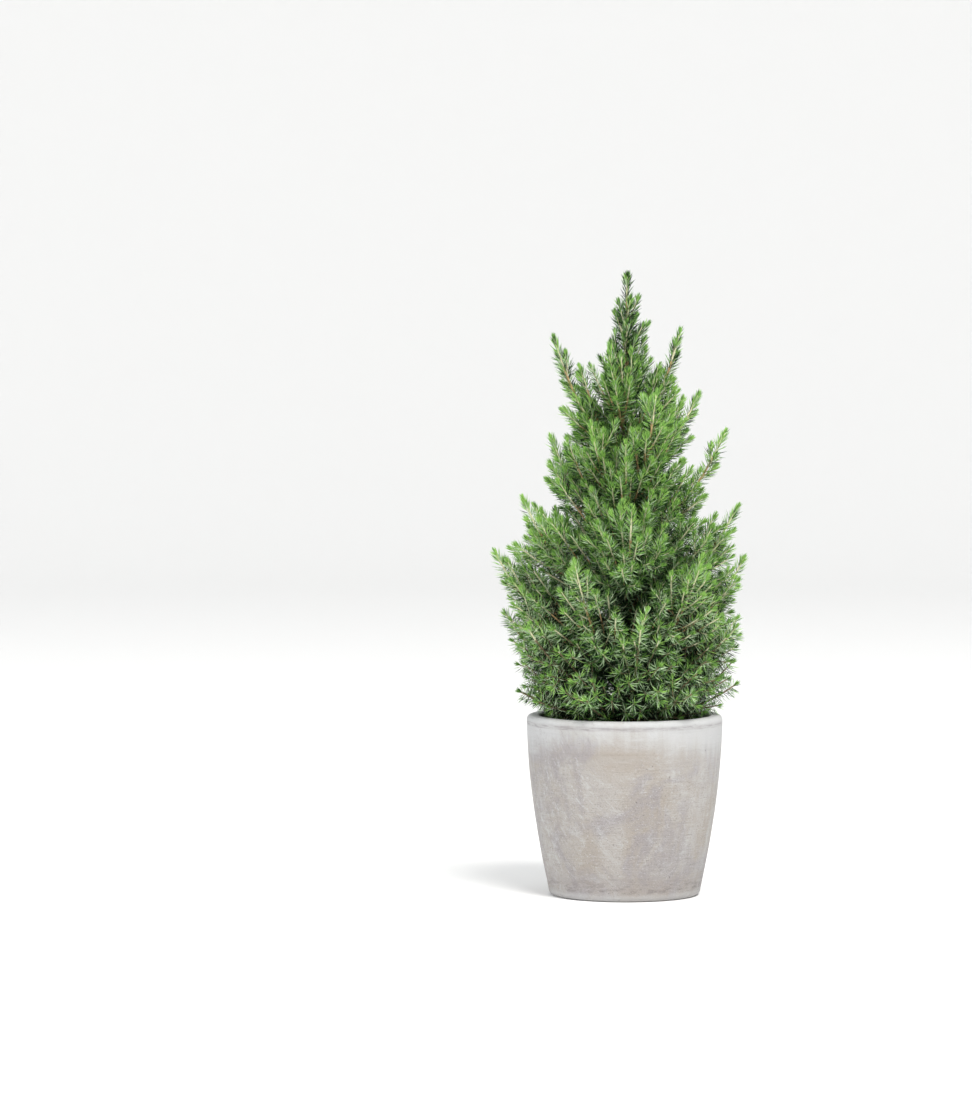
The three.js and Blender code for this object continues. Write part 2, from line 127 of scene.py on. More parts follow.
# By height in millimetres: the crown's radius in millimetres, how steeply shoots turn up in
# degrees above level, and how light the needles are as a share of the tones, partly their own
# change from old growth low down to new growth higher up and partly painted shade on the low crown.
CROWN = [
    (200, 106), (245, 128), (320, 143), (395, 150), (433, 137), (460, 119),
    (496, 102), (560, 90), (620, 68), (680, 40), (750, 5),
]
RISE = [(200, 20), (260, 32), (330, 44), (420, 55), (560, 64), (700, 80)]
GROWTH_AND_SHADE_LIGHTNESS = [(216, 0.16), (290, 0.24), (345, 0.37), (390, 0.50), (580, 0.51), (680, 0.20)]

# Side shoots: how many to a metre, the shares of the parent where the first and the last stand,
# and their length near its foot and near its tip. The rows are for whorled limbs, spires, the
# leader, and the leader's foot. Then come the finer shoots that each of these groups bears.
SIDE_GROWTH = [
    (230, 0.10, 0.96, 0.160, 0.030),
    (190, 0.04, 0.92, 0.105, 0.022),
    (210, 0.40, 0.91, 0.110, 0.027),
    (420, 0.00, 0.42, 0.130, 0.110),
]
FINER_GROWTH = [
    (70, 0.15, 0.85, 0.060, 0.020),
    (60, 0.20, 0.80, 0.046, 0.018),
    (60, 0.20, 0.80, 0.050, 0.018),
    (40, 0.30, 0.90, 0.050, 0.024),
]
# Shoots from the leader that fill what is still open round it, and their own finer shoots
INNER_GROWTH = [(1000, 0.15, 0.42, 0.170, 0.150)]
INNER_FINER_GROWTH = [(55, 0.25, 0.90, 0.050, 0.024)]

# A shoot's growth: the step, the shortest that is kept, the points of a finished path, the light's
# lasting pull, and the power that brings more shoots near the crown's full width
STEP = 0.004
SHORTEST = 0.014
PATH_POINTS = 9
LASTING_PULL = 0.006
REACH_POWER = 0.7

# Where side shoots stand: their uneven places as shares of their spacing, the extra turn from one
# limb to the next, and how far turns and branching angles vary, in radians
PLACE_SPREAD = (0.15, 0.85)
LIMB_TURN = 1.7
TURN_SPREAD = 0.3
BRANCHING_SPREAD = 0.12

# How far their lengths vary, and the share of those that face away from the light
LENGTH_SPREAD = (0.68, 1.12)
UNLIT_SHARE = 0.6
FACING_LIGHT = (-0.5, 0.7)

# Where shoots may grow: above the compost, and above the pot's rim from this inset on, with a climb
# of this width between the two. Then how far they keep above these and inside the crown and the
# frame's box, and how near to its limb's axis a shoot may leave the crown's outline.
RIM_INSET = 0.0177
RIM_CLIMB = 0.026
POT_CLEARANCE = 0.007
EDGE_CLEARANCE = 0.004
NEAR_AXIS = 0.008

# For stems, side shoots and finer shoots: the pull of the light, the new growth, the needles on
# old growth and the tuft at the tip, as shares of the sizes in the panel
ORDER_PULL = (1, 1, 0.5)
ORDER_NEW_GROWTH = (2, 1, 1)
ORDER_OLD_NEEDLES = (0.38, 1, 1)
ORDER_TUFT = (3, 1, 1)

# The same for the twigs' radii at foot and tip, their rings and their sides
TWIG_FOOT = (0.0026, 0.0013, 0.0008)
TWIG_TIP = (0.0009, 0.0007, 0.0005)
TWIG_RINGS = (9, 6, 4)
TWIG_SIDES = (6, 4, 3)

# Twigs that end below this height are dark, and a piece under the least share is left out. The
# new, straw-coloured end of a twig is this long in the middle of the crown and near its top, with
# the heights of that change, and the heights over which it comes in.
LOW_TWIGS = 0.33
LEAST_TWIG_SHARE = 0.04
NEW_TWIG = (0.044, 0.026)
NEW_TWIG_HEIGHTS = (0.42, 0.54)
NEW_TWIG_COMES = (0.27, 0.40)

# The heights between which shoots and needles change from low growth to raised growth
SHOOTS_RAISED = (0.25, 0.42)
NEEDLES_RAISED = (0.25, 0.46)

# For low and for raised growth: the share of new growth that is dense, the length of a shoot's end
# where needles lean forward, where they are short and where they are fresh, the share of their
# length when short, the share of their thickness, and how strongly fresh ones brighten
DENSE_SHARE = (0.5, 1.0)
YOUNG_END = (0.006, 0.030)
LEADER_YOUNG_END = 0.060
TENDER_END = (0.005, 0.008)
FRESH_END = (0.008, 0.024)
TENDER_SHARE = (0.5, 0.65)
THICKNESS_SHARE = (0.85, 1.0)
FRESH_STRENGTH = (1.5, 1.0)
LEADER_FRESH_STRENGTH = 0.4

# How far needles vary: in metres along the shoot, in radians round it and in their splay, and as
# shares of their length and thickness. Those within the end of a tip splay by any share.
ALONG_SPREAD = 0.0005
ROUND_SPREAD = 0.25
SPLAY_SPREAD = 0.12
TIP_END = 0.004
TIP_SPLAY_SPREAD = (0.1, 1.1)
NEEDLE_LENGTH_SPREAD = (0.85, 1.1)
NEEDLE_THICKNESS_SPREAD = (0.8, 1.1)
TUFT_POWER = 1.5

# A needle's shape: where it is thickest, and how far it bends up and forward from there
NEEDLE_WAIST = 0.52
NEEDLE_LIFT = 0.06
NEEDLE_LEAN = 0.08

# What shifts a needle's tone: by chance its shoot and itself, then painted light at the crown's
# outline, the fresh tips of shoots, and more painted light on the tips at the outline, which reaches
# as deep as this at the crown's foot and at its top
SHOOT_TONE = 0.05
NEEDLE_TONE = 0.28
OUTLINE_PAINTED_LIGHT = 0.08
FRESH_TONE = 0.15
OUTLINE_PAINTED_TIP_LIGHT = 0.15
PAINTED_LIGHT_DEPTH = (0.055, 0.085)

# How much darker needles are made, low and raised: by painted shade deep inside the crown and,
# back from a shoot's tip, on older growth. Then the depths inside the crown and distances back from
# the tip over which this comes in. Then the share of pale needles, low and raised, partly the real
# bloom of their undersides and partly a painted highlight, and the darkest tone and least distance
# from a tip that they have.
SHADE_AND_AGE_TONE = (0.30, 0.11)
SHADE_AND_AGE_RAISED = (0.24, 0.46)
PAINTED_SHADE_DEPTH = (0.014, 0.060)
OLD_GROWTH_BACK = (0.012, 0.040)
PALE_STRENGTH = (1.5, 0.5)
PALE_RAISED = (0.22, 0.60)
PALE_DARKEST = (0.02, 0.16)
PALE_BACK = 0.005

# Needles that would end in the pot's wall are left out: with tips between this radius and just past
# the rim, and this far or more below its top
WALL_INNER = 0.094
PAST_RIM = 0.002
BELOW_RIM = 0.004

# Needle tones from dark to light, the darkest a near-black painted shade deep in the crown, the
# steps between them, and the pale needles, partly real bloom and partly painted highlight. How rough
# and how shiny a needle is, how shiny it is in the two darkest, shaded tones, and its faces.
TONES = ("deep_shade", "shade", "old", "mid", "bright", "fresh", "tip")
TONE_STEPS = (0.02, 0.27, 0.43, 0.57, 0.71, 0.86)
BLOOM_AND_GLINT = "bloom_and_glint"
NEEDLE_ROUGHNESS = 0.45
NEEDLE_SHINE = 0.35
SHADED_SHINE = 0.1
NEEDLE_FACES = np.array([(0, 2, 1), (0, 3, 2), (0, 1, 3), (1, 2, 4), (2, 3, 4), (3, 1, 4)])

# The pot and the compost: steps round them, radii of the fans at the middle of the pot's floor and
# of the compost, radius of the pot's inner floor, how far the wall leans in and out and its wheel
# lines stand out, and how far it is set inside the frame's
POT_SEGMENTS = 180
FLOOR_FAN = 0.012
SOIL_FAN = 0.006
INNER_FLOOR = 0.07
LEANING = 0.00035
WHEEL_LINES = 0.00003
POT_INSET = 0.0004

# The compost's gap to the wall and to the pot's floor, and the heights of crumbs and of lumps
SOIL_GAP = 0.0006
SOIL_LIFT = 0.0005
CRUMBS = 0.0016
LUMPS = 0.0012

# Cells of the noise behind each relief. Round the pot and the trunk it is read on a circle: the
# circle's radius in cells, for x and for y, then cells for each metre of height. For compost and
# boughs: cells for each metre.
LEANING_CELLS = (1.6, 1.6, 14)
WHEEL_CELLS = (0.7, 0.7, 420)
TRUNK_CELLS = (2.4, 2.4, 110)
BOUGH_CELLS = 420
CRUMB_CELLS = 160
LUMP_CELLS = 70

# How deep the trunk's foot is sunk in, its sides, and its rings, which a power draws towards the
# foot. The shares of its limb between which a bough runs, its rings and its sides.
TRUNK_SUNK = 0.003
TRUNK_SIDES = 40
TRUNK_RINGS = 320
RING_POWER = 1.25
BOUGH_SPAN = (-0.015, 0.5)
BOUGH_RINGS = 48
BOUGH_SIDES = 12

# The trunk's root lobes: their number and their turn. As shares of the radius: the lobes, the
# ridges of the bark, and the boughs' collars. The lobes die away over a length, and the collars
# over a share of the limb.
ROOT_COUNT = 5
ROOT_TURN = 0.6
ROOT_LOBES = 0.28
TRUNK_RIDGES = 0.07
BOUGH_RIDGES = 0.09
COLLAR = 0.5
LOBES_FADE = 0.012
COLLAR_FADE = 0.02

# How much of the darkest colour lies in the cracks of bark, twigs and compost, and the depth of
# the clay's relief
DIRT = 0.75
CLAY_RELIEF = 0.0012

# Bark, twigs and compost: darkest colour, scale of the pattern, how far it is squeezed along the
# stem, roughness and depth of the relief
COATS = {
    "compost": ((0.008, 0.006, 0.005), 140.0, 1.0, 0.95, 0.0015),
    "trunk_bark": ((0.06, 0.045, 0.035), 330.0, 0.45, 0.90, 0.0009),
    "bough_bark": ((0.07, 0.05, 0.035), 420.0, 1.0, 0.85, 0.0006),
    "twigs_low": ((0.07, 0.05, 0.03), 160.0, 1.0, 0.75, 0.0003),
    "twigs_old": ((0.24, 0.15, 0.08), 160.0, 1.0, 0.75, 0.0003),
    "twigs_new": ((0.44, 0.37, 0.20), 160.0, 1.0, 0.75, 0.0003),
}

# The radii of the floor's middle, flat and bend, the height of its wall and its steps round
FLOOR_MIDDLE = 0.5
FLOOR_FLAT = 6.0
FLOOR_BEND = 3.0
FLOOR_WALL = 6.0
FLOOR_SEGMENTS = 96

# Soft lamps: place, width, share of the main light's power and tint. They face one point of the
# crown.
LAMPS = {
    "main_light": ((1.3, -3.0, 5.2), 2.6, 1.0, (1.0, 0.985, 0.96)),
    "fill_light": ((-4.2, -2.6, 2.8), 3.5, 0.25, (0.95, 0.975, 1.0)),
}
LAMP_TARGET = (0.0, 0.0, 0.4)
SKY_TINT = (0.97, 0.985, 1.0, 1.0)

# The camera's lens and sensor in millimetres, its place beside and above the pot, and how far it
# looks down in degrees
LENS = 178.9
SENSOR = 36.0
CAMERA_SIDE = -0.1657
CAMERA_HEIGHT = 0.770
CAMERA_DOWN = 3.158
CAMERA_SIGHT = 60.0


# Small tools
def unit(vectors):
    """Each vector divided by its length."""
    return vectors / np.maximum(np.linalg.norm(vectors, axis=-1, keepdims=True), 1e-12)


def square_to(vectors, tangent):
    """Unit vectors, after each one's share along its tangent is taken out."""
    return unit(vectors - (vectors * tangent).sum(-1, keepdims=True) * tangent)


def around(side, across, turn):
    """Vectors at the given turns from one sideways axis towards the other."""
    return side * np.cos(turn)[..., None] + across * np.sin(turn)[..., None]


def spokes(turn):
    """Level unit vectors at the given turns from the x axis."""
    return np.stack([np.cos(turn), np.sin(turn), 0 * turn], axis=-1)


def level_radius(points):
    """Distances from the pot's axis."""
    return np.linalg.norm(points[..., :2], axis=-1)


def lerp(a, b, share):
    return a + (b - a) * share


def smooth(value, low, high):
    """0 below low and 1 above high, with a soft step between: 3t^2 - 2t^3."""
    t = np.clip((value - low) / (high - low), 0.0, 1.0)
    return t * t * (3 - 2 * t)


def by_height(rows, z):
    """The value at height z of rows of (height in millimetres, value), by straight lines."""
    heights, values = np.array(rows).T
    return np.interp(z / MM, heights, values)


def numbered(counts):
    """For a count of things on each parent: the parent of each thing, and its number there."""
    parent = np.repeat(np.arange(len(counts)), counts)
    return parent, np.arange(len(parent)) - np.repeat(np.cumsum(counts) - counts, counts)


def dice(seed):
    """The part's seeded sequence, by a linear congruential rule."""
    state = seed

    def roll(low, high):
        nonlocal state
        state = (state * 1664525 + 1013904223) % 2**32
        return low + (high - low) * state / 2**32

    return roll


def lattice(points, seed):
    """A number from 0 to 1 for each whole-numbered place, by mixing its coordinates."""
    x, y, z = (points[..., i].astype(np.int64) for i in range(3))
    mixed = (x * 374761393 + y * 668265263 + z * 2147483647 + seed * 974634777) & 0xFFFFFFFF
    mixed = ((mixed ^ (mixed >> 13)) * 1274126177) & 0xFFFFFFFF
    return ((mixed ^ (mixed >> 16)) & 0xFFFF) / 65535.0


def grain(points, seed):
    """Smooth noise from -1 to 1: the numbers at a cell's eight corners, blended across it."""
    cell = np.floor(points)
    t = points - cell
    t = t * t * (3 - 2 * t)
    total = 0.0
    for corner in np.ndindex(2, 2, 2):
        near = np.array(corner)
        weight = np.prod(np.where(near == 1, t, 1 - t), axis=-1)
        total = total + weight * lattice(cell + near, seed)
    return total * 2 - 1


def layered_grain(points, seed, layers=3):
    """Noise layers added up, each twice as fine and half as strong as the one before."""
    return sum(grain(points * 2**i, seed + i) * 0.5**i for i in range(layers))


# Meshes from arrays
def wall_faces(rows, columns):
    """The four-sided faces of a grid whose rows are rings."""
    spots = np.arange(rows * columns).reshape(rows, columns)
    right = np.roll(spots, -1, axis=1)
    return np.stack([spots[:-1], right[:-1], right[1:], spots[1:]], axis=-1).reshape(-1, 4)


def fan_faces(ring, centre, along):
    """Three-sided faces from a ring to a centre point, facing along the path or against it."""
    after = np.roll(ring, -1)
    middle = np.full_like(ring, centre)
    return np.stack((ring, after, middle) if along else (after, ring, middle), axis=-1)


def mesh_object(name, points, face_sets, smooth_faces=True):
    """A mesh object from an array of points and arrays of faces with equal numbers of corners."""
    corners = np.concatenate([faces.ravel() for faces in face_sets])
    sides = np.concatenate([np.full(len(faces), faces.shape[1]) for faces in face_sets])
    mesh = bpy.data.meshes.new(name)
    mesh.vertices.add(len(points))
    mesh.vertices.foreach_set("co", np.asarray(points, dtype=np.float32).ravel())
    mesh.loops.add(len(corners))
    mesh.loops.foreach_set("vertex_index", corners.astype(np.int32))
    mesh.polygons.add(len(sides))
    mesh.polygons.foreach_set("loop_start", (np.cumsum(sides) - sides).astype(np.int32))
    mesh.polygons.foreach_set("use_smooth", np.full(len(sides), smooth_faces))
    mesh.update(calc_edges=True)
    made = bpy.data.objects.new(name, mesh)
    bpy.context.scene.collection.objects.link(made)
    return made


def closed_object(name, grid, foot, head):
    """A mesh object from a grid of rings, closed by fans to a point at its foot and its head."""
    rows, columns = grid.shape[:2]
    points = np.concatenate([grid.reshape(-1, 3), [foot, head]])
    ring = np.arange(columns)
    faces = [
        wall_faces(rows, columns),
        fan_faces(ring, len(points) - 2, False),
        fan_faces(ring + (rows - 1) * columns, len(points) - 1, True),
    ]
    return mesh_object(name, points, faces)


def finish_piece(piece, material, nodes):
    """Gives a piece its material and slot, and lets it stand for its nodes of the frame."""
    piece.data.materials.append(material)
    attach(piece, "root")
    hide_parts(*nodes)


def arc(centre_radius, centre_height, radius, start, end, steps):
    """Radii and heights along an arc of an outline, from one angle in degrees to another."""
    turn = np.radians(np.linspace(start, end, steps))
    return centre_radius + radius * np.cos(turn), centre_height + radius * np.sin(turn)


def lathe(outline, segments):
    """The stretches of an outline, each given as radii and heights, turned round the axis."""
    turn = np.linspace(0, 2 * np.pi, segments, endpoint=False)
    radius, height = np.hstack(outline)[..., None]
    return spokes(turn) * radius[..., None] + UP * height[..., None]


def path_frames(paths):
    """Tangents of paths (count, points, 3) and two sideways axes. The first sideways axis is level
    and square to the path's chord, so it never lies along a path that only bends up or down."""
    tangent = unit(np.gradient(paths, axis=1))
    chord = paths[:, -1] - paths[:, 0]
    level = np.cross(UP, chord)
    upright = np.linalg.norm(level, axis=-1) < 0.05 * np.linalg.norm(chord, axis=-1)
    level[upright] = (1.0, 0.0, 0.0)
    side = square_to(unit(level)[:, None], tangent)
    return tangent, side, np.cross(tangent, side)


def tubes(paths, radii, sides):
    """Closed round tubes: a ring square to the path at each of its points, and a point at each end.
    paths is (count, points, 3) and radii is (count, points)."""
    count, steps = radii.shape
    tangent, side, across = path_frames(paths)
    out = around(side[:, :, None], across[:, :, None], 2 * np.pi * np.arange(sides) / sides)
    rings = paths[:, :, None] + out * radii[:, :, None, None]
    start = paths[:, :1] - tangent[:, :1] * radii[:, :1, None] * 0.5
    end = paths[:, -1:] + tangent[:, -1:] * radii[:, -1:, None]
    points = np.concatenate([rings.reshape(count, -1, 3), start, end], axis=1)
    block = steps * sides + 2
    first = np.arange(sides)
    last = first + (steps - 1) * sides
    caps = [fan_faces(first, block - 2, False), fan_faces(last, block - 1, True)]
    offset = (np.arange(count) * block)[:, None, None]
    walls = (wall_faces(steps, sides) + offset).reshape(-1, 4)
    return points.reshape(-1, 3), walls, (np.concatenate(caps) + offset).reshape(-1, 3)


# The trunk and the limbs
def trunk_point(z):
    """The trunk's centre line: a circle's turn of small radius that rises with z."""
    turn = 2 * np.pi * SWAY_TURNS * (z - TRUNK_FOOT) / (LEADER_TIP - TRUNK_FOOT)
    return np.stack([SWAY * np.sin(turn), SWAY * (np.cos(turn) - 1), z + 0 * turn], axis=-1)


def trunk_radius(z, sizes):
    """An even taper plus the root flare, which dies away with height."""
    share = (z - TRUNK_FOOT) / (TRUNK_TOP - TRUNK_FOOT)
    flare = sizes.root_flare * np.exp(-(z - TRUNK_FOOT) / FLARE_FADE)
    return lerp(sizes.trunk_radius, TRUNK_TOP_RADIUS, share) + flare


def limb_rows():
    """Name, azimuth, start, reach and tip height of each limb, in degrees and millimetres."""
    rows = []
    for tier, (name, start, left, right, azimuths) in enumerate(WHORLS):
        roll = dice(FIRST_SEED + tier)
        for i, azimuth in enumerate(azimuths):
            rightward = 0.5 + 0.5 * math.cos(math.radians(azimuth))
            start_here = start + (i % 2) * STAGGER + roll(*START_SPREAD)
            reach = lerp(left[0], right[0], rightward) * roll(*REACH_SPREAD)
            tip = lerp(left[1], right[1], rightward) + roll(*TIP_SPREAD)
            rows.append((f"{name}{i + 1}", azimuth, start_here, reach, tip))
    return rows + SPIRES


LIMBS = limb_rows()
LIMB_NAMES = [row[0] for row in LIMBS]
LIMB_SIZES = np.array([row[1:] for row in LIMBS])
FIRST_SPIRE = len(LIMBS) - len(SPIRES)
LEADER = len(LIMBS)
BOUGH_NODES = [f"bough_{name}" for name in LIMB_NAMES[:FIRST_SPIRE]]
FOLIAGE_NODES = [f"needles_{name}" for name in [*LIMB_NAMES, "leader"]]


def limb_points(share):
    """Points of every limb's bent path at the given shares: (limbs, shares, 3). The path is a
    quadratic curve from the trunk's bark, out to the bend, and up to the furthest tip."""
    azimuth, start, reach, tip = LIMB_SIZES.T
    out = spokes(np.radians(azimuth))
    start, reach, tip = start * MM, reach * MM, tip * MM
    height = (start - TRUNK_FOOT) / (TRUNK_TOP - TRUNK_FOOT)
    foot = trunk_point(start) + out * lerp(TRUNK_RADIUS, TRUNK_TOP_RADIUS, height)[:, None]
    bend = out * (reach * ARCH)[:, None] + UP * lerp(start, tip, LIFT)[:, None]
    end = out * reach[:, None] + UP * tip[:, None]
    t = np.asarray(share)[..., None]
    return (
        foot[:, None] * (1 - t) ** 2 + bend[:, None] * 2 * t * (1 - t) + end[:, None] * t**2
    )


AXIS_PIECES = 9
AXES = np.concatenate(
    [
        limb_points(np.linspace(0, 1, AXIS_PIECES + 1)),
        trunk_point(np.linspace(TRUNK_FOOT, LEADER_TIP, AXIS_PIECES + 1))[None],
    ]
)


def axis_distances(points):
    """The distance from each point to each limb's axis and to the trunk's: the least of the
    distances to its straight pieces, with the nearest spot held between a piece's ends."""
    starts = AXES[:, :-1].reshape(-1, 3)
    along = (AXES[:, 1:] - AXES[:, :-1]).reshape(-1, 3)
    share = (points @ along.T - (starts * along).sum(-1)) / (along * along).sum(-1)
    spots = starts + np.clip(share, 0, 1)[..., None] * along
    gaps = np.linalg.norm(points[:, None] - spots, axis=-1)
    return gaps.reshape(len(points), len(AXES), AXIS_PIECES).min(-1)


def crown_radius(z):
    return by_height(CROWN, z) * MM


def height_share(points):
    return np.clip((points[..., 2] - POT_HEIGHT) / (LEADER_TIP - POT_HEIGHT), 0, 1)


def growth_way(points):
    """Which way shoots turn: outwards low in the crown and upwards near its top."""
    rise = np.radians(by_height(RISE, points[..., 2]))[..., None]
    return unit(points * (1, 1, 0)) * np.cos(rise) + UP * np.sin(rise)


def fits(points, owner, reach, sizes):
    """True where a point is clear of the pot and the soil, inside its share of the crown, and in its
    limb's own space, which may lap over its neighbour's a little."""
    radius = level_radius(points)
    over_rim = np.clip(1 - (sizes.rim_radius - RIM_INSET - radius) / RIM_CLIMB, 0, 1)
    above_pot = points[:, 2] > lerp(SOIL_TOP, POT_HEIGHT, over_rim) + POT_CLEARANCE
    gaps = axis_distances(points)
    rows = np.arange(len(points))
    mine = gaps[rows, owner]
    gaps[rows, owner] = np.inf
    own = mine < gaps.min(-1) + sizes.lap
    in_crown = radius < crown_radius(points[:, 2]) * reach - EDGE_CLEARANCE
    low, high = CAD_LOW + EDGE_CLEARANCE, CAD_HIGH - EDGE_CLEARANCE
    in_box = ((points > low) & (points < high)).all(-1)
    return above_pot & own & (in_crown | (mine < NEAR_AXIS)) & in_box


# Growing shoots
class Shoots:
    """Shoots of one order: their paths with equal steps along each, lengths and limb numbers."""

    def __init__(self, paths, lengths, owner, order):
        self.paths = paths
        self.lengths = lengths
        self.owner = owner
        self.order = order

    def at(self, index, share):
        """Points and tangents of the numbered shoots at shares of their lengths."""
        spot = np.clip(share, 0, 1) * (PATH_POINTS - 1)
        before = np.minimum(spot.astype(int), PATH_POINTS - 2)
        a = self.paths[index, before]
        b = self.paths[index, before + 1]
        return lerp(a, b, (spot - before)[:, None]), unit(b - a)

    def part(self, chosen):
        """The chosen shoots as a group of their own."""
        return Shoots(self.paths[chosen], self.lengths[chosen], self.owner[chosen], self.order)


def even_paths(paths, counts):
    """Each path's first counts points, spread again over PATH_POINTS equal shares."""
    spot = np.linspace(0, 1, PATH_POINTS) * (counts[:, None] - 1)
    before = np.minimum(spot.astype(int), paths.shape[1] - 2)
    rows = np.arange(len(paths))[:, None]
    return lerp(paths[rows, before], paths[rows, before + 1], (spot - before)[..., None])


def grow(start, way, length, owner, order, sizes, rng):
    """Each shoot goes on by equal steps that turn towards the light and wander a little, and stops
    at its length or where it would leave its space. Shoots that stay too short are dropped."""
    steps = int(np.ceil(length.max() / STEP))
    reach = rng.uniform(sizes.least_reach, 1.0, len(start)) ** REACH_POWER
    path = np.repeat(start[:, None], steps + 1, axis=1)
    alive = np.ones(len(start), bool)
    counts = np.ones(len(start), int)
    for k in range(steps):
        wander = rng.normal(0, sizes.wander, start.shape)
        fading = np.exp(-k * STEP / sizes.settling)
        pull = sizes.pull * ORDER_PULL[order] * fading + LASTING_PULL
        way = unit(way * (1 - pull) + growth_way(path[:, k]) * pull + wander)
        there = path[:, k] + way * STEP
        alive &= ((k + 1) * STEP <= length) & fits(there, owner, reach, sizes)
        path[:, k + 1 :] = np.where(alive[:, None], there, path[:, k])[:, None]
        counts += alive
    kept = (counts - 1) * STEP >= SHORTEST
    lengths = (counts[kept] - 1) * STEP
    return Shoots(even_paths(path[kept], counts[kept]), lengths, owner[kept], order)


def side_shoots(parents, per_metre, first, last, near, far, sizes, rng):
    """Side shoots leave each parent at even spaces and by the golden angle round it, at the
    branching angle to its tangent. Those that face the light grow longest."""
    wanted = np.round(parents.lengths * (last - first) * per_metre)
    counts = np.maximum(1, wanted).astype(int)
    index, place = numbered(counts)
    place_here = place + rng.uniform(*PLACE_SPREAD, len(index))
    share = first + (last - first) * place_here / counts[index]
    start, tangent = parents.at(index, share)
    _, side, across = path_frames(parents.paths)
    middle = PATH_POINTS // 2
    turn = GOLDEN_ANGLE * place + parents.owner[index] * LIMB_TURN
    turn = turn + rng.normal(0, TURN_SPREAD, len(index))
    out = square_to(around(side[index, middle], across[index, middle], turn), tangent)
    branching = lerp(sizes.branching, sizes.top_branching, height_share(start))
    branching = branching + rng.normal(0, BRANCHING_SPREAD, len(index))
    way = around(tangent, out, branching)
    lit = smooth((way * growth_way(start)).sum(-1), *FACING_LIGHT)
    length = lerp(near, far, share) * rng.uniform(*LENGTH_SPREAD, len(index))
    length = length * lerp(UNLIT_SHARE, 1.0, lit)
    return grow(start, way, length, parents.owner[index], parents.order + 1, sizes, rng)


def stems():
    """The stems of all masses: each limb from where it leaves the trunk, and the leader."""
    leader = trunk_point(np.linspace(LEADER_FOOT, LEADER_TIP - LEADER_BUD, PATH_POINTS))[None]
    paths = np.concatenate([limb_points(np.linspace(0, 1, PATH_POINTS)), leader])
    lengths = np.linalg.norm(np.diff(paths, axis=1), axis=-1).sum(-1)
    return Shoots(paths, lengths, np.arange(len(paths)), 0)


def thinned(groups, others, spacing):
    """Shoots whose tips keep their distance: one gives way where a longer one of the groups, or any
    of the others, ends too near."""
    tips = np.concatenate([group.paths[:, -1] for group in groups])
    lengths = np.concatenate([group.lengths for group in groups])
    near = np.linalg.norm(tips[:, None] - tips, axis=-1) < spacing
    crowded = (near & (lengths > lengths[:, None])).any(1)
    for group in others:
        gaps = np.linalg.norm(tips[:, None] - group.paths[:, -1], axis=-1)
        crowded |= (gaps < spacing).any(1)
    ends = np.cumsum([len(group.paths) for group in groups])
    return [
        group.part(~crowded[end - len(group.paths) : end]) for group, end in zip(groups, ends)
    ]


def crown_shoots(sizes):
    """Every shoot of the crown, in groups: the stems, their side shoots, the finer shoots of these,
    and the inner shoots that fill what is still open."""
    rng = np.random.default_rng(sizes.seed)
    stem = stems()
    whorled = stem.part(stem.owner < FIRST_SPIRE)
    spired = stem.part((stem.owner >= FIRST_SPIRE) & (stem.owner < LEADER))
    leading = stem.part(stem.owner == LEADER)

    def borne(parents, rows, others):
        pairs = zip(parents, rows)
        groups = [side_shoots(parent, *row, sizes, rng) for parent, row in pairs]
        return thinned(groups, others, sizes.tip_spacing)

    crown = [stem]
    side = borne([whorled, spired, leading, leading], SIDE_GROWTH, crown)
    crown = crown + side
    crown = crown + borne(side, FINER_GROWTH, crown)
    inner = borne([leading], INNER_GROWTH, crown)
    crown = crown + inner
    return crown + borne(inner, INNER_FINER_GROWTH, crown)


# Needles
def needle_sites(shoots, sizes, rng):
    """Where needles leave their shoots by the golden angle: densest in the tuft at the tip, dense
    along the new growth, and thinner along the old. Gives shoot numbers, distances from the base
    and turns round the stem."""
    order = shoots.order
    raised = smooth(shoots.paths[:, -1, 2], *SHOOTS_RAISED)
    dense = sizes.dense_length * ORDER_NEW_GROWTH[order] * lerp(*DENSE_SHARE, raised)
    new = np.minimum(shoots.lengths, dense)
    old_needles = sizes.old_needles * ORDER_OLD_NEEDLES[order]
    along = np.round(new * sizes.new_needles + (shoots.lengths - new) * old_needles).astype(int)
    index, place = numbered(along + sizes.tuft_needles * ORDER_TUFT[order])
    on_new = new[index] * sizes.new_needles
    from_tip = np.where(
        place < on_new,
        (place + 0.5) / sizes.new_needles,
        new[index] + (place + 0.5 - on_new) / old_needles,
    )
    tuft = sizes.tuft_length * ORDER_TUFT[order] * rng.uniform(0, 1, len(index)) ** TUFT_POWER
    from_tip = np.where(place >= along[index], tuft, from_tip)
    from_tip = from_tip + rng.normal(0, ALONG_SPREAD, len(index))
    turn = GOLDEN_ANGLE * place + rng.normal(0, ROUND_SPREAD, len(index))
    return index, shoots.lengths[index] - np.clip(from_tip, 0, shoots.lengths[index]), turn


def needle_shapes(root, way, tangent, length, thickness):
    """Slim spindles of six faces: a point at the root, a ring of three corners past the middle, where
    the needle is thickest, and a point at the tip. Each bends forward and up from ring to tip."""
    fore = unit(way + growth_way(root) * NEEDLE_LIFT + tangent * NEEDLE_LEAN)
    waist = root + way * (length * NEEDLE_WAIST)[:, None]
    tip = waist + fore * (length * (1 - NEEDLE_WAIST))[:, None]
    side = unit(np.cross(way, tangent + 1e-4))
    across = np.cross(way, side)
    corner = around(side[:, None], across[:, None], 2 * np.pi * np.arange(3) / 3)
    ring = waist[:, None] + corner * (thickness / 2)[:, None, None]
    return np.concatenate([root[:, None], ring, tip[:, None]], axis=1)


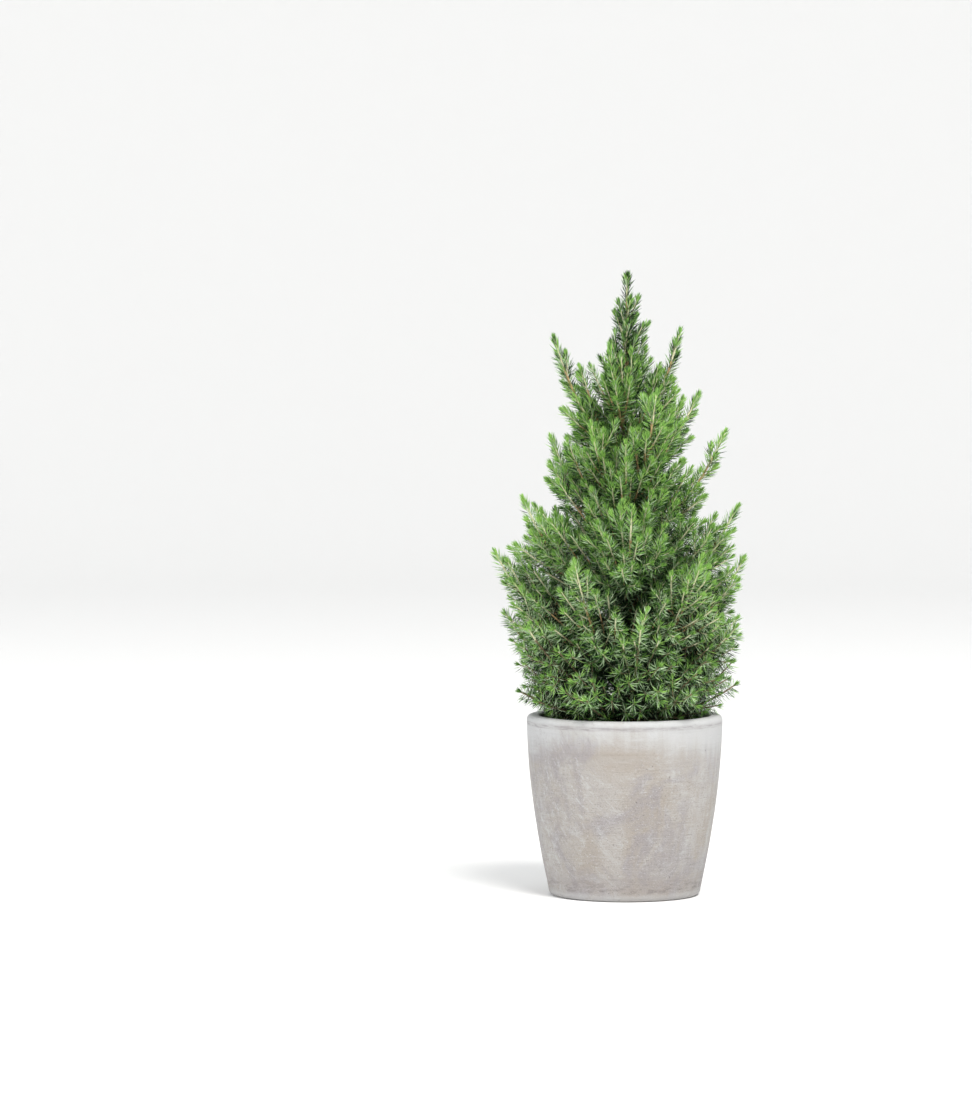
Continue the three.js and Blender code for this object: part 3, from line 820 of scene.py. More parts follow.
def needle_tones(shoots, index, root, from_tip, sizes, rng):
    """The numbers of the needles' tones. A tone is the lightness at its height, partly the needles'
    own and partly painted shade low in the crown. It is raised at fresh tips and by painted light on
    shoots that end near the crown's outline, most at their tips. It is lowered by painted shade deep
    inside the crown and back along a shoot on older growth, and varied by shoot and by needle. Some
    needles are
    pale: partly the real bloom of their undersides, partly a painted highlight for the sky's glint."""
    z = root[:, 2]
    raised = smooth(z, *NEEDLES_RAISED)
    tips = shoots.paths[index, -1]
    # Painted light: needles of shoots that end near the crown's outline are made lighter, most at
    # their tips
    tip_depth = crown_radius(tips[:, 2]) - level_radius(tips)
    painted_light = 1 - smooth(tip_depth, TIP_END, lerp(*PAINTED_LIGHT_DEPTH, height_share(root)))
    mood = rng.normal(0, SHOOT_TONE, len(shoots.lengths))[index]
    # The lightness by height holds painted shade on the low crown as well as the needles' own colour
    tone = by_height(GROWTH_AND_SHADE_LIGHTNESS, z) + OUTLINE_PAINTED_LIGHT * painted_light + mood
    tone = tone + rng.normal(0, NEEDLE_TONE, len(index))
    on_top = (shoots.owner[index] == LEADER) & (shoots.order == 0)
    fresh = 1 - smooth(from_tip, TIP_END, lerp(*FRESH_END, raised))
    fresh = fresh * lerp(*FRESH_STRENGTH, raised) * np.where(on_top, LEADER_FRESH_STRENGTH, 1.0)
    # Painted light again on the fresh tips of shoots near the outline
    tone = tone + (FRESH_TONE + OUTLINE_PAINTED_TIP_LIGHT * painted_light) * fresh
    # Painted shade: needles deep inside the crown are made darker; older growth back from the tip is
    # darker too
    depth = crown_radius(z) - level_radius(root)
    shade_and_age = smooth(depth, *PAINTED_SHADE_DEPTH) + smooth(from_tip, *OLD_GROWTH_BACK)
    tone = tone - shade_and_age * lerp(*SHADE_AND_AGE_TONE, smooth(z, *SHADE_AND_AGE_RAISED))
    # Pale needles: partly the real bloom of their undersides, partly a painted highlight for the
    # sky's glint, kept off the darkest needles
    pale_share = sizes.bloom_and_glint * lerp(*PALE_STRENGTH, smooth(z, *PALE_RAISED))
    pale = rng.uniform(0, 1, len(index)) < pale_share
    pale &= (from_tip > PALE_BACK) & (tone > lerp(*PALE_DARKEST, raised))
    return np.where(pale, len(TONES), np.searchsorted(TONE_STEPS, tone))


def needles(shoots, sizes, rng):
    """All needles of a group of shoots: their five points each, and the numbers of their tones. They
    stand out from old growth, and lean forward and are shorter towards the shoot's tip."""
    index, distance, turn = needle_sites(shoots, sizes, rng)
    share = distance / shoots.lengths[index]
    root, tangent = shoots.at(index, share)
    _, side, across = path_frames(shoots.paths)
    place = np.clip(np.round(share * (PATH_POINTS - 1)).astype(int), 0, PATH_POINTS - 1)
    out = square_to(around(side[index, place], across[index, place], turn), tangent)

    from_tip = shoots.lengths[index] - distance
    raised = smooth(root[:, 2], *NEEDLES_RAISED)
    on_top = (shoots.owner[index] == LEADER) & (shoots.order == 0)
    young_end = np.where(on_top, LEADER_YOUNG_END, lerp(*YOUNG_END, raised))
    young = 1 - smooth(from_tip / young_end, 0.15, 1.0)
    grown_splay = lerp(sizes.low_splay, sizes.high_splay, height_share(root))
    splay = lerp(grown_splay, np.where(on_top, sizes.leader_splay, sizes.tip_splay), young)
    splay = splay + rng.normal(0, SPLAY_SPREAD, len(index))
    at_tip = rng.uniform(*TIP_SPLAY_SPREAD, len(index))
    splay = splay * np.where(from_tip < TIP_END, at_tip, 1.0)
    tender = 1 - smooth(from_tip, 0.0, lerp(*TENDER_END, raised))
    length = sizes.needle_length * lerp(1.0, lerp(*TENDER_SHARE, raised), tender)
    length = length * rng.uniform(*NEEDLE_LENGTH_SPREAD, len(index))
    thickness = sizes.needle_thickness * rng.uniform(*NEEDLE_THICKNESS_SPREAD, len(index))
    thickness = thickness * lerp(*THICKNESS_SHARE, raised)
    shapes = needle_shapes(root, around(tangent, out, splay), tangent, length, thickness)
    tones = needle_tones(shoots, index, root, from_tip, sizes, rng)

    tip = shapes[:, -1]
    radius = level_radius(tip)
    over_wall = (radius > WALL_INNER) & (radius < sizes.rim_radius + PAST_RIM)
    clear = ((shapes > CAD_LOW) & (shapes < CAD_HIGH)).all((1, 2))
    clear &= ~(over_wall & (tip[:, 2] < POT_HEIGHT - BELOW_RIM))
    return shapes[clear], tones[clear]


# Materials
def put(tree, kind, feeds, **settings):
    """Adds a node with its settings, and feeds its inputs from sockets or with plain values."""
    made = tree.nodes.new(kind)
    for name, value in settings.items():
        setattr(made, name, value)
    for name, value in feeds.items():
        if isinstance(value, bpy.types.NodeSocket):
            tree.links.new(value, made.inputs[name])
        else:
            made.inputs[name].default_value = value
    return made


def blend(tree, factor, first, second):
    """A colour between two, by factor."""
    feeds = {0: factor, 6: first, 7: second}
    return put(tree, "ShaderNodeMix", feeds, data_type="RGBA", blend_type="MIX").outputs[2]


def maths(tree, operation, first, second):
    return put(tree, "ShaderNodeMath", {0: first, 1: second}, operation=operation).outputs[0]


def step_of(tree, value, low, high, from_value=0.0, to_value=1.0):
    """A soft step of a value from low to high."""
    feeds = {
        "Value": value,
        "From Min": low,
        "From Max": high,
        "To Min": from_value,
        "To Max": to_value,
    }
    made = put(tree, "ShaderNodeMapRange", feeds, interpolation_type="SMOOTHSTEP")
    return made.outputs["Result"]


def noise_of(tree, vector, scale, detail, roughness, distortion=0.0):
    feeds = {
        "Vector": vector,
        "Scale": scale,
        "Detail": detail,
        "Roughness": roughness,
        "Distortion": distortion,
    }
    return put(tree, "ShaderNodeTexNoise", feeds).outputs["Fac"]


def stretched(tree, vector, stretch, lean=0.0):
    """A position whose pattern is drawn out along each axis, and leans from upright to the side."""
    feeds = {"Vector": vector, "Rotation": (0.0, lean, 0.0), "Scale": stretch}
    return put(tree, "ShaderNodeMapping", feeds, vector_type="TEXTURE").outputs["Vector"]


def effect(name, inputs, outputs, build):
    """A shader node group with named inputs and outputs of the given kinds, made once."""
    if name in bpy.data.node_groups:
        return bpy.data.node_groups[name]
    group = bpy.data.node_groups.new(name, "ShaderNodeTree")
    for way, sockets in (("INPUT", inputs), ("OUTPUT", outputs)):
        for label, kind in sockets.items():
            group.interface.new_socket(label, in_out=way, socket_type=f"NodeSocket{kind}")
    entry = group.nodes.new("NodeGroupInput").outputs
    result = group.nodes.new("NodeGroupOutput")
    for label, socket in build(group, entry).items():
        group.links.new(socket, result.inputs[label])
    return group


def new_material(name, **constants):
    """A material with its surface shader, whose constants sit on the shader's own sockets."""
    material = bpy.data.materials.new(name)
    material.use_nodes = True
    tree = material.node_tree
    tree.nodes.clear()
    shader = tree.nodes.new("ShaderNodeBsdfPrincipled")
    result = tree.nodes.new("ShaderNodeOutputMaterial")
    tree.links.new(shader.outputs["BSDF"], result.inputs["Surface"])
    for label, value in constants.items():
        shader.inputs[label.replace("_", " ")].default_value = value
    return material, tree, shader


def coat_surface(tree, shader, coat, depth):
    """Feeds a coat's colour to the shader, and its height, in metres times depth, to the normal."""
    tree.links.new(coat.outputs["Color"], shader.inputs["Base Color"])
    feeds = {"Height": coat.outputs["Height"], "Distance": depth, "Strength": 1.0}
    bump = put(tree, "ShaderNodeBump", feeds)
    tree.links.new(bump.outputs["Normal"], shader.inputs["Normal"])


def rgba(colour):
    return (*colour, 1.0)


def mottled_group():
    """Two colours mixed by cloudy noise, with finer dark grain: for bark, twigs and soil."""

    def build(tree, entry):
        product = partial(maths, tree, "MULTIPLY")
        scale = entry["Scale"]
        cloud = noise_of(tree, entry["Vector"], scale, 4.0, 0.6)
        fine = noise_of(tree, entry["Vector"], product(scale, 6.0), 3.0, 0.6)
        coat = blend(tree, step_of(tree, cloud, 0.35, 0.65), entry["First"], entry["Second"])
        dark = product(step_of(tree, fine, 0.55, 0.3), entry["Dirt"])
        height = maths(tree, "ADD", product(cloud, 0.6), product(fine, 0.4))
        return {"Color": blend(tree, dark, coat, entry["Dark"]), "Height": height}

    inputs = {
        "Vector": "Vector",
        "Scale": "Float",
        "First": "Color",
        "Second": "Color",
        "Dark": "Color",
        "Dirt": "Float",
    }
    return effect("Mottled surface", inputs, {"Color": "Color", "Height": "Float"}, build)


def mottled_material(name, first, second):
    """Bark, twigs or compost: mottled along the stem, with fine cracks."""
    dark, scale, squeeze, roughness, depth = COATS[name]
    material, tree, shader = new_material(name, Roughness=roughness)
    place = tree.nodes.new("ShaderNodeTexCoord").outputs["Object"]
    feeds = {
        "Vector": stretched(tree, place, (1.0, 1.0, 1.0 / squeeze)),
        "Scale": scale,
        "First": rgba(first),
        "Second": rgba(second),
        "Dark": rgba(dark),
        "Dirt": DIRT,
    }
    coat = put(tree, "ShaderNodeGroup", feeds, node_tree=mottled_group())
    coat_surface(tree, shader, coat, depth)
    return material


def needle_material(tone, colour):
    """Waxy needles of one plain colour, duller where they lie in the shade."""
    shine = SHADED_SHINE if tone in TONES[:2] else NEEDLE_SHINE
    looks = {"Roughness": NEEDLE_ROUGHNESS, "Specular_IOR_Level": shine}
    material, _, shader = new_material(f"needles_{tone}", **looks)
    shader.inputs["Base Color"].default_value = rgba(colour)
    return material


def clay_group():
    """Washed clay: cloudy patches under a whitish wash near the rim and in upright streaks, with
    painted light that whitens the right side and a painted reflection along the left edge. Slanting
    wipe marks on the left, painted shade as a thin dark line under the rim, level ticks, pale and
    dark specks, a few pits, and darker patches on the lower half, lilac patches, marks and a pale
    edge near the foot."""

    def build(tree, entry):
        place = entry["Vector"]
        step = partial(step_of, tree)
        noise = partial(noise_of, tree)
        drawn = partial(stretched, tree, place)
        product = partial(maths, tree, "MULTIPLY")
        total = partial(maths, tree, "ADD")
        parts = put(tree, "ShaderNodeSeparateXYZ", {"Vector": place}).outputs
        x, z = parts["X"], parts["Z"]

        broad = noise(place, 8.5, 4.0, 0.6, 0.8)
        clouds = noise(place, 15.0, 7.0, 0.68, 1.2)
        blotches = noise(place, 30.0, 8.0, 0.75, 0.8)
        streaks = noise(drawn((1, 1, 18)), 125.0, 3.0, 0.6)
        wipes = noise(drawn((1, 1, 22), -0.75), 210.0, 5.0, 0.75)
        specks = noise(drawn((1.5, 1.5, 1), 0.35), 760.0, 3.0, 0.65)
        wheel = noise(drawn((4, 4, 0.11)), 34.0, 3.0, 0.6)
        ticks = noise(drawn((7, 7, 0.45)), 330.0, 4.0, 0.65)
        marks = noise(drawn((3, 3, 0.8)), 190.0, 5.0, 0.7)
        pits = step(noise(place, 230.0, 1.0, 0.4), 0.77, 0.82)

        near_rim = step(z, 0.160, 0.214, 0.0, 0.95)
        # Painted light whitens the right side, and a painted reflection the left edge
        painted_light_right = step(x, -0.01, 0.12, 0.0, 0.58)
        painted_reflection_left = step(x, -0.075, -0.11, 0.0, 0.40)
        edge = total(total(near_rim, total(painted_light_right, painted_reflection_left)), product(clouds, 0.6))
        # This mask carries the real wash near the rim together with that painted light and reflection
        wash_and_painted_light = step(total(edge, product(streaks, 0.8)), 0.85, 1.90)
        wiped = product(step(broad, 0.60, 0.46), step(x, 0.02, -0.06))
        # Painted shade: a thin lilac line under the rounded lip, where its underside turns from the
        # light
        painted_lip_shade = product(step(z, 0.2035, 0.2060), step(z, 0.2110, 0.2085))
        below_rim = step(z, 0.190, 0.130, 0.25, 1.0)
        low_band = product(step(z, 0.008, 0.012), step(z, 0.030, 0.013))
        foot = step(total(z, product(blotches, 0.012)), 0.019, 0.009)

        # Each layer's place, strength and colour, from the clay outwards
        layers = (
            (step(clouds, 0.44, 0.62), 0.85, "Lilac"),
            (step(blotches, 0.50, 0.66), 0.50, "Tan"),
            (step(blotches, 0.48, 0.34), 0.40, "Wash"),
            (wash_and_painted_light, 0.90, "Wash"),
            (product(step(wipes, 0.52, 0.68), wiped), 0.65, "Wash"),
            (product(step(wipes, 0.46, 0.32), wiped), 0.70, "Lilac"),
            (product(step(wipes, 0.38, 0.28), wiped), 0.25, "Dark"),
            # Painted shade under the lip, then darker dashes along it
            (painted_lip_shade, 0.22, "Lilac"),
            (product(painted_lip_shade, step(ticks, 0.46, 0.62)), 0.40, "Dark"),
            (product(step(specks, 0.57, 0.72), below_rim), 0.75, "Wash"),
            (product(step(specks, 0.44, 0.28), below_rim), 0.60, "Dark"),
            (product(step(ticks, 0.56, 0.70), below_rim), 0.35, "Wash"),
            (product(step(ticks, 0.45, 0.28), below_rim), 0.34, "Dark"),
            (step(wheel, 0.46, 0.34), 0.06, "Dark"),
            (product(step(clouds, 0.60, 0.74), step(z, 0.110, 0.050)), 0.34, "Dark"),
            (product(step(z, 0.050, 0.015), clouds), 0.70, "Lilac"),
            (pits, 0.35, "Dark"),
            (product(step(marks, 0.48, 0.58), low_band), 0.40, "Dark"),
            (foot, 0.45, "Wash"),
        )
        coat = blend(tree, step(broad, 0.42, 0.62), entry["Clay"], entry["Tan"])
        for share, strength, label in layers:
            coat = blend(tree, product(share, strength), coat, entry[label])

        height = total(product(wheel, 0.15), product(specks, 0.35))
        height = total(height, product(wipes, 0.25))
        height = maths(tree, "SUBTRACT", height, product(pits, 0.8))
        return {"Color": coat, "Height": height, "Roughness": step(clouds, 0.3, 0.7, 0.82, 0.95)}

    inputs = {label: "Color" for label in ("Clay", "Tan", "Lilac", "Wash", "Dark")}
    outputs = {"Color": "Color", "Height": "Float", "Roughness": "Float"}
    return effect("Washed clay", {"Vector": "Vector", **inputs}, outputs, build)


def clay_material(colours):
    material, tree, shader = new_material("washed_clay")
    feeds = {
        "Vector": tree.nodes.new("ShaderNodeTexCoord").outputs["Object"],
        "Clay": rgba(colours.clay),
        "Tan": rgba(colours.clay_tan),
        "Lilac": rgba(colours.clay_lilac),
        "Wash": rgba(colours.clay_wash),
        "Dark": rgba(colours.clay_dark),
    }
    coat = put(tree, "ShaderNodeGroup", feeds, node_tree=clay_group())
    tree.links.new(coat.outputs["Roughness"], shader.inputs["Roughness"])
    coat_surface(tree, shader, coat, CLAY_RELIEF)
    return material


# Sizes and colours that a user would change
def a_length(name, description, default):
    return bpy.props.FloatProperty(
        name=name, description=description, default=default, unit="LENGTH", precision=4
    )


def an_angle(name, description, degrees):
    return bpy.props.FloatProperty(
        name=name, description=description, default=math.radians(degrees), subtype="ANGLE"
    )


def a_number(name, description, default):
    return bpy.props.FloatProperty(name=name, description=description, default=default)


def a_count(name, description, default):
    return bpy.props.IntProperty(name=name, description=description, default=default, min=0)


def a_colour(name, description, default):
    return bpy.props.FloatVectorProperty(
        name=name, description=description, default=default, subtype="COLOR", min=0.0, max=1.0
    )


class SpruceSizes(bpy.types.PropertyGroup):
    """Sizes of the pot, the trunk, the shoots and the needles."""

    rim_radius: a_length("Rim radius", "Radius of the pot at its rim", 0.1175)
    flare_drop: a_length("Foot inset", "How much narrower the pot's foot is than its rim", 0.0283)
    flare_power: a_number("Wall curve", "How late the pot's wall turns in towards the foot", 1.8)
    wall: a_length("Wall", "Thickness of the pot's wall", 0.0157)
    pot_floor: a_length("Pot floor", "Thickness of the pot's floor", 0.018)
    lip_round: a_length("Lip rounding", "Radius of the rim's outer edge", 0.006)
    foot_round: a_length("Foot rounding", "Radius of the foot's edge", 0.007)
    trunk_radius: a_length("Trunk radius", "Radius above the root flare", TRUNK_RADIUS)
    root_flare: a_length("Root flare", "Extra radius at the trunk's foot", 0.0055)
    needle_length: a_length("Needle length", "Length of a grown needle", 0.0145)
    needle_thickness: a_length("Needle thickness", "Thickness at a needle's thickest", 0.00112)
    tuft_length: a_length("Tuft length", "How far back from a tip the tuft reaches", 0.005)
    dense_length: a_length("New growth", "Length of each shoot's densely needled end", 0.030)
    lap: a_length("Lap", "How far a limb's twigs may reach into its neighbour's space", 0.042)
    branching: an_angle("Branching", "Angle of side shoots low in the crown", 58)
    top_branching: an_angle("Top branching", "Angle of side shoots at the top", 32)
    least_reach: a_number("Least reach", "Share of the crown's width that every shoot may fill", 0.80)
    low_splay: an_angle("Low splay", "Angle of needles to their stem low in the crown", 80)
    high_splay: an_angle("High splay", "Angle of needles to their stem near the top", 50)
    tip_splay: an_angle("Tip splay", "Angle of needles to their stem at a shoot's tip", 22)
    leader_splay: an_angle("Leader splay", "Angle of needles at the top of the leader", 28)
    tip_spacing: a_length("Tip spacing", "How near the tips of two shoots may be", 0.013)
    pull: a_number("Light pull", "How far a new shoot turns to the light at each step", 0.25)
    settling: a_length("Settling", "How soon a shoot grows straight", 0.016)
    wander: a_number("Wander", "How unevenly a shoot grows", 0.012)
    new_needles: a_number("New needles", "Needles along a metre of new growth", 2100.0)
    old_needles: a_number("Old needles", "Needles along a metre of old growth", 1000.0)
    # Share of pale needles: partly real bloom, partly painted highlight
    bloom_and_glint: a_number("Bloom", "Share of old needles that turn their pale side out", 0.28)
    tuft_needles: a_count("Tuft needles", "Extra needles at each tip", 14)
    seed: a_count("Seed", "Changes the whole pattern of growth", 10)


class SpruceColours(bpy.types.PropertyGroup):
    """Colours of the clay, the soil, the bark and the needles."""

    clay: a_colour("Clay", "Grey-beige clay", (0.332, 0.312, 0.292))
    clay_tan: a_colour("Tan clay", "Warmer patches", (0.300, 0.268, 0.234))
    clay_lilac: a_colour("Lilac clay", "Cooler, darker patches", (0.262, 0.243, 0.246))
    clay_wash: a_colour("Wash", "Whitish wash on the clay", (0.445, 0.450, 0.455))
    clay_dark: a_colour("Clay marks", "Pits and marks", (0.12, 0.10, 0.10))
    soil: a_colour("Soil", "Dark compost", (0.025, 0.018, 0.013))
    soil_light: a_colour("Soil crumbs", "Lighter crumbs", (0.07, 0.05, 0.035))
    bark: a_colour("Bark", "Grey-brown bark", (0.17, 0.125, 0.09))
    bark_light: a_colour("Bark plates", "Lighter plates", (0.30, 0.235, 0.175))
    twig_low: a_colour("Low twigs", "Dark twigs low in the crown", (0.17, 0.125, 0.07))
    twig_low_light: a_colour("Low twig patches", "Lighter patches", (0.24, 0.18, 0.10))
    twig_old: a_colour("Old twigs", "Orange-brown twigs", (0.50, 0.335, 0.155))
    twig_old_dark: a_colour("Old twig patches", "Darker patches", (0.42, 0.285, 0.14))
    twig_new: a_colour("New twigs", "Straw-coloured new stems", (0.76, 0.73, 0.52))
    twig_new_dark: a_colour("New twig patches", "Darker patches", (0.64, 0.61, 0.38))
    # Painted shade: a near-black tone for the needles deepest in the crown
    deep_shade: a_colour("Deep", "Needles deepest in the crown", (0.006, 0.015, 0.005))
    shade: a_colour("Shade", "Shaded needles", (0.010, 0.029, 0.008))
    old: a_colour("Old", "Old needles", (0.042, 0.105, 0.028))
    mid: a_colour("Mid", "Grown needles", (0.086, 0.196, 0.045))
    bright: a_colour("Bright", "Lit needles", (0.148, 0.316, 0.065))
    fresh: a_colour("Fresh", "Young needles", (0.214, 0.422, 0.088))
    tip: a_colour("Tip", "Needles at the tips", (0.300, 0.530, 0.115))
    # Pale needles: the real bloom of their undersides, lightened further as a painted highlight
    bloom_and_glint: a_colour("Bloom", "The pale underside of old needles", (0.390, 0.530, 0.310))


class SpruceStage(bpy.types.PropertyGroup):
    """The floor, the light and the camera."""

    floor: a_colour("Floor", "Pale plain floor", (0.82, 0.817, 0.810))
    key_power: bpy.props.FloatProperty(
        name="Main light", description="Power of the main soft light", default=385.0, unit="POWER"
    )
    sky: a_number("Sky", "Strength of the even light from all round", 0.92)
    distance: a_length("Camera distance", "From the camera to the pot's axis", 6.556)


# Operators
def settings():
    return bpy.context.scene.spruce_sizes, bpy.context.scene.spruce_colours


def pot_wall(z, sizes):
    """The pot's outer radius at height z: it drops from the rim's by a power of the depth."""
    depth = np.maximum(0, 1 - z / POT_HEIGHT)
    return sizes.rim_radius - sizes.flare_drop * depth**sizes.flare_power


class SPRUCE_OT_pot(bpy.types.Operator):
    """Turns the clay pot: a slightly uneven wall with wheel marks, a round lip and foot."""

    bl_idname = "spruce.pot"
    bl_label = "Pot"

    def execute(self, context):
        sizes, colours = settings()
        foot, lip = sizes.foot_round, sizes.lip_round
        inner_lip = lip * 0.6
        wall_z = np.linspace(foot * 1.2, POT_HEIGHT - lip * 1.3, 96)
        inner_z = np.linspace(POT_HEIGHT - lip, sizes.pot_floor, 16)[1:]
        foot_r = pot_wall(foot, sizes)
        lip_r = pot_wall(POT_HEIGHT - lip, sizes)

        # Out along the underside, up the wall, over the lip, and down inside to the inner floor
        outline = [
            (np.linspace(FLOOR_FAN, foot_r - foot * 1.3, 8), np.zeros(8)),
            arc(foot_r - foot, foot, foot, -90, -12, 9),
            (pot_wall(wall_z, sizes), wall_z),
            arc(lip_r - lip, POT_HEIGHT - lip, lip, 8, 90, 10),
            arc(lip_r - sizes.wall + inner_lip, POT_HEIGHT - inner_lip, inner_lip, 90, 180, 8),
            (pot_wall(inner_z, sizes) - sizes.wall, inner_z),
            (np.linspace(INNER_FLOOR, FLOOR_FAN, 5), np.full(5, sizes.pot_floor)),
        ]
        grid = self.uneven(lathe(outline, POT_SEGMENTS))
        pot = closed_object("clay_pot", grid, (0, 0, 0), (0, 0, sizes.pot_floor))
        finish_piece(pot, clay_material(colours), ["pot"])
        return {"FINISHED"}

    @staticmethod
    def uneven(grid):
        """The wall leans in and out by a third of a millimetre, with finer wheel lines."""
        out = spokes(np.arctan2(grid[..., 1], grid[..., 0]))
        z = grid[..., 2:]
        place = out + UP * z
        leaning = layered_grain(place * LEANING_CELLS, seed=5) * LEANING
        wheel = grain(place * WHEEL_CELLS, seed=9) * WHEEL_LINES
        push = leaning + wheel - POT_INSET
        return grid + out * push[..., None] * smooth(z, 0.004, 0.02)


class SPRUCE_OT_soil(bpy.types.Operator):
    """Fills the pot with crumbly compost."""

    bl_idname = "spruce.soil"
    bl_label = "Soil"

    def execute(self, context):
        sizes, colours = settings()
        inset = sizes.wall + SOIL_GAP
        edge = pot_wall(SOIL_EDGE, sizes) - inset
        side_z = np.linspace(sizes.pot_floor + SOIL_LIFT, SOIL_EDGE, 8)
        side_r = pot_wall(side_z, sizes) - inset
        top_r = np.linspace(edge, SOIL_FAN, 60)[1:]
        top_z = lerp(SOIL_EDGE, SOIL_TOP, smooth(1 - top_r / edge, 0.0, 0.8))
        grid = lathe([(side_r, side_z), (top_r, top_z)], POT_SEGMENTS)

        # Lumps a few millimetres wide, which stay below the trunk's foot
        spot = grid * (1, 1, 0)
        crumbs = layered_grain(spot * CRUMB_CELLS, seed=3, layers=4) * CRUMBS
        lumps = np.abs(grain(spot * LUMP_CELLS, seed=8)) * LUMPS
        on_top = (grid[..., 2] >= SOIL_EDGE) * smooth(edge - level_radius(grid), 0, 0.004)
        grid = grid + UP * ((crumbs + lumps - LUMPS) * on_top)[..., None]

        soil = closed_object("soil_surface", grid, (0, 0, side_z[0]), (0, 0, SOIL_TOP))
        material = mottled_material("compost", colours.soil, colours.soil_light)
        finish_piece(soil, material, ["soil"])
        return {"FINISHED"}


class SPRUCE_OT_wood(bpy.types.Operator):
    """Makes the trunk and the boughs with the relief of their bark."""

    bl_idname = "spruce.wood"
    bl_label = "Trunk and boughs"

    def execute(self, context):
        sizes, colours = settings()
        self.trunk(sizes, colours)
        self.boughs(colours)
        return {"FINISHED"}

    @staticmethod
    def trunk(sizes, colours):
        """Rings along the trunk's centre line, with root lobes at its foot and ridges of bark."""
        height = TRUNK_TOP + TRUNK_SUNK - TRUNK_FOOT
        share = np.linspace(0, 1, TRUNK_RINGS) ** RING_POWER
        heights = TRUNK_FOOT - TRUNK_SUNK + height * share
        turn = np.linspace(0, 2 * np.pi, TRUNK_SIDES, endpoint=False)
        z = heights[:, None] + 0 * turn
        out = spokes(turn + 0 * z)
        ridges = layered_grain((out + UP * z[..., None]) * TRUNK_CELLS, seed=21)
        lobes = ROOT_LOBES * np.cos(ROOT_COUNT * turn + ROOT_TURN)
        roots = 1 + lobes * np.exp(-(z - TRUNK_FOOT) / LOBES_FADE)
        radius = trunk_radius(np.maximum(z, TRUNK_FOOT), sizes) * roots
        radius = radius * (1 + TRUNK_RIDGES * ridges)
        rings = trunk_point(z) + out * radius[..., None]
        ends = trunk_point(heights[[0, -1]])
        trunk = closed_object("trunk_bark", rings, *ends)
        bark = mottled_material("trunk_bark", colours.bark, colours.bark_light)
        finish_piece(trunk, bark, ["trunk"])

    @staticmethod
    def boughs(colours):
        """Tubes along the inner halves of the lower limbs, with a collar at the trunk, whose skin is
        pushed in and out by noise."""
        share = np.linspace(*BOUGH_SPAN, BOUGH_RINGS)
        paths = limb_points(share)[:FIRST_SPIRE]
        taper = smooth(share, 0.0, 0.55) * 0.8 + share * 0.4
        collar = 1 + COLLAR * np.exp(-np.maximum(share, 0) / COLLAR_FADE)
        radii = lerp(BOUGH_RADIUS, TRUNK_TOP_RADIUS, taper) * collar
        points, *faces = tubes(paths, np.repeat(radii[None], FIRST_SPIRE, axis=0), BOUGH_SIDES)
        shaped = points.reshape(FIRST_SPIRE, -1, 3)
        skin = shaped[:, :-2]
        relief = layered_grain(skin * BOUGH_CELLS, seed=31)[..., None] * BOUGH_RIDGES
        shaped[:, :-2] = skin + (skin - np.repeat(paths, BOUGH_SIDES, axis=1)) * relief
        boughs = mesh_object("bough_bark", shaped.reshape(-1, 3), faces)
        bark = mottled_material("bough_bark", colours.bark, colours.twig_old)
        finish_piece(boughs, bark, BOUGH_NODES)


class SPRUCE_OT_twigs(bpy.types.Operator):
    """Grows the twigs on from the limbs: dark where low, else orange-brown, and straw where new."""

    bl_idname = "spruce.twigs"
    bl_label = "Twigs"

    def execute(self, context):
        sizes, colours = settings()
        low, old, new = [], [], []
        for shoots in crown_shoots(sizes):
            tip_z = shoots.paths[:, -1, 2]
            new_length = lerp(*NEW_TWIG, smooth(tip_z, *NEW_TWIG_HEIGHTS))
            new_length = new_length * smooth(tip_z, *NEW_TWIG_COMES)
            turns_new = 1 - np.clip(new_length / shoots.lengths, 0, 1)
            is_low = tip_z < LOW_TWIGS
            low += self.lengths_of(shoots, 0 * turns_new, turns_new, is_low)
            old += self.lengths_of(shoots, 0 * turns_new, turns_new, ~is_low)
            new += self.lengths_of(shoots, turns_new, 0 * turns_new + 1, True)
        for name, parts, first, second in (
            ("twigs_low", low, colours.twig_low, colours.twig_low_light),
            ("twigs_old", old, colours.twig_old, colours.twig_old_dark),
            ("twigs_new", new, colours.twig_new, colours.twig_new_dark),
        ):
            points, *face_sets = zip(*parts)
            offsets = np.cumsum([0] + [len(part) for part in points])
            faces = [
                np.concatenate([part + offset for part, offset in zip(face_set, offsets)])
                for face_set in face_sets
            ]
            twigs = mesh_object(name, np.concatenate(points), faces)
            finish_piece(twigs, mottled_material(name, first, second), FOLIAGE_NODES)
        return {"FINISHED"}

    @staticmethod
    def lengths_of(shoots, start, end, wanted):
        """Tapering tubes along the wanted shoots, from the start to the end share of each: a list of
        one set of tubes, or of none."""
        chosen = np.flatnonzero((end - start > LEAST_TWIG_SHARE) & wanted)
        if not len(chosen):
            return []
        order = shoots.order
        rings = TWIG_RINGS[order]
        share = start[chosen, None] + (end - start)[chosen, None] * np.linspace(0, 1, rings)
        points, _ = shoots.at(np.repeat(chosen, rings), share.ravel())
        radii = lerp(TWIG_FOOT[order], TWIG_TIP[order], share)
        return [tubes(points.reshape(len(chosen), rings, 3), radii, TWIG_SIDES[order])]


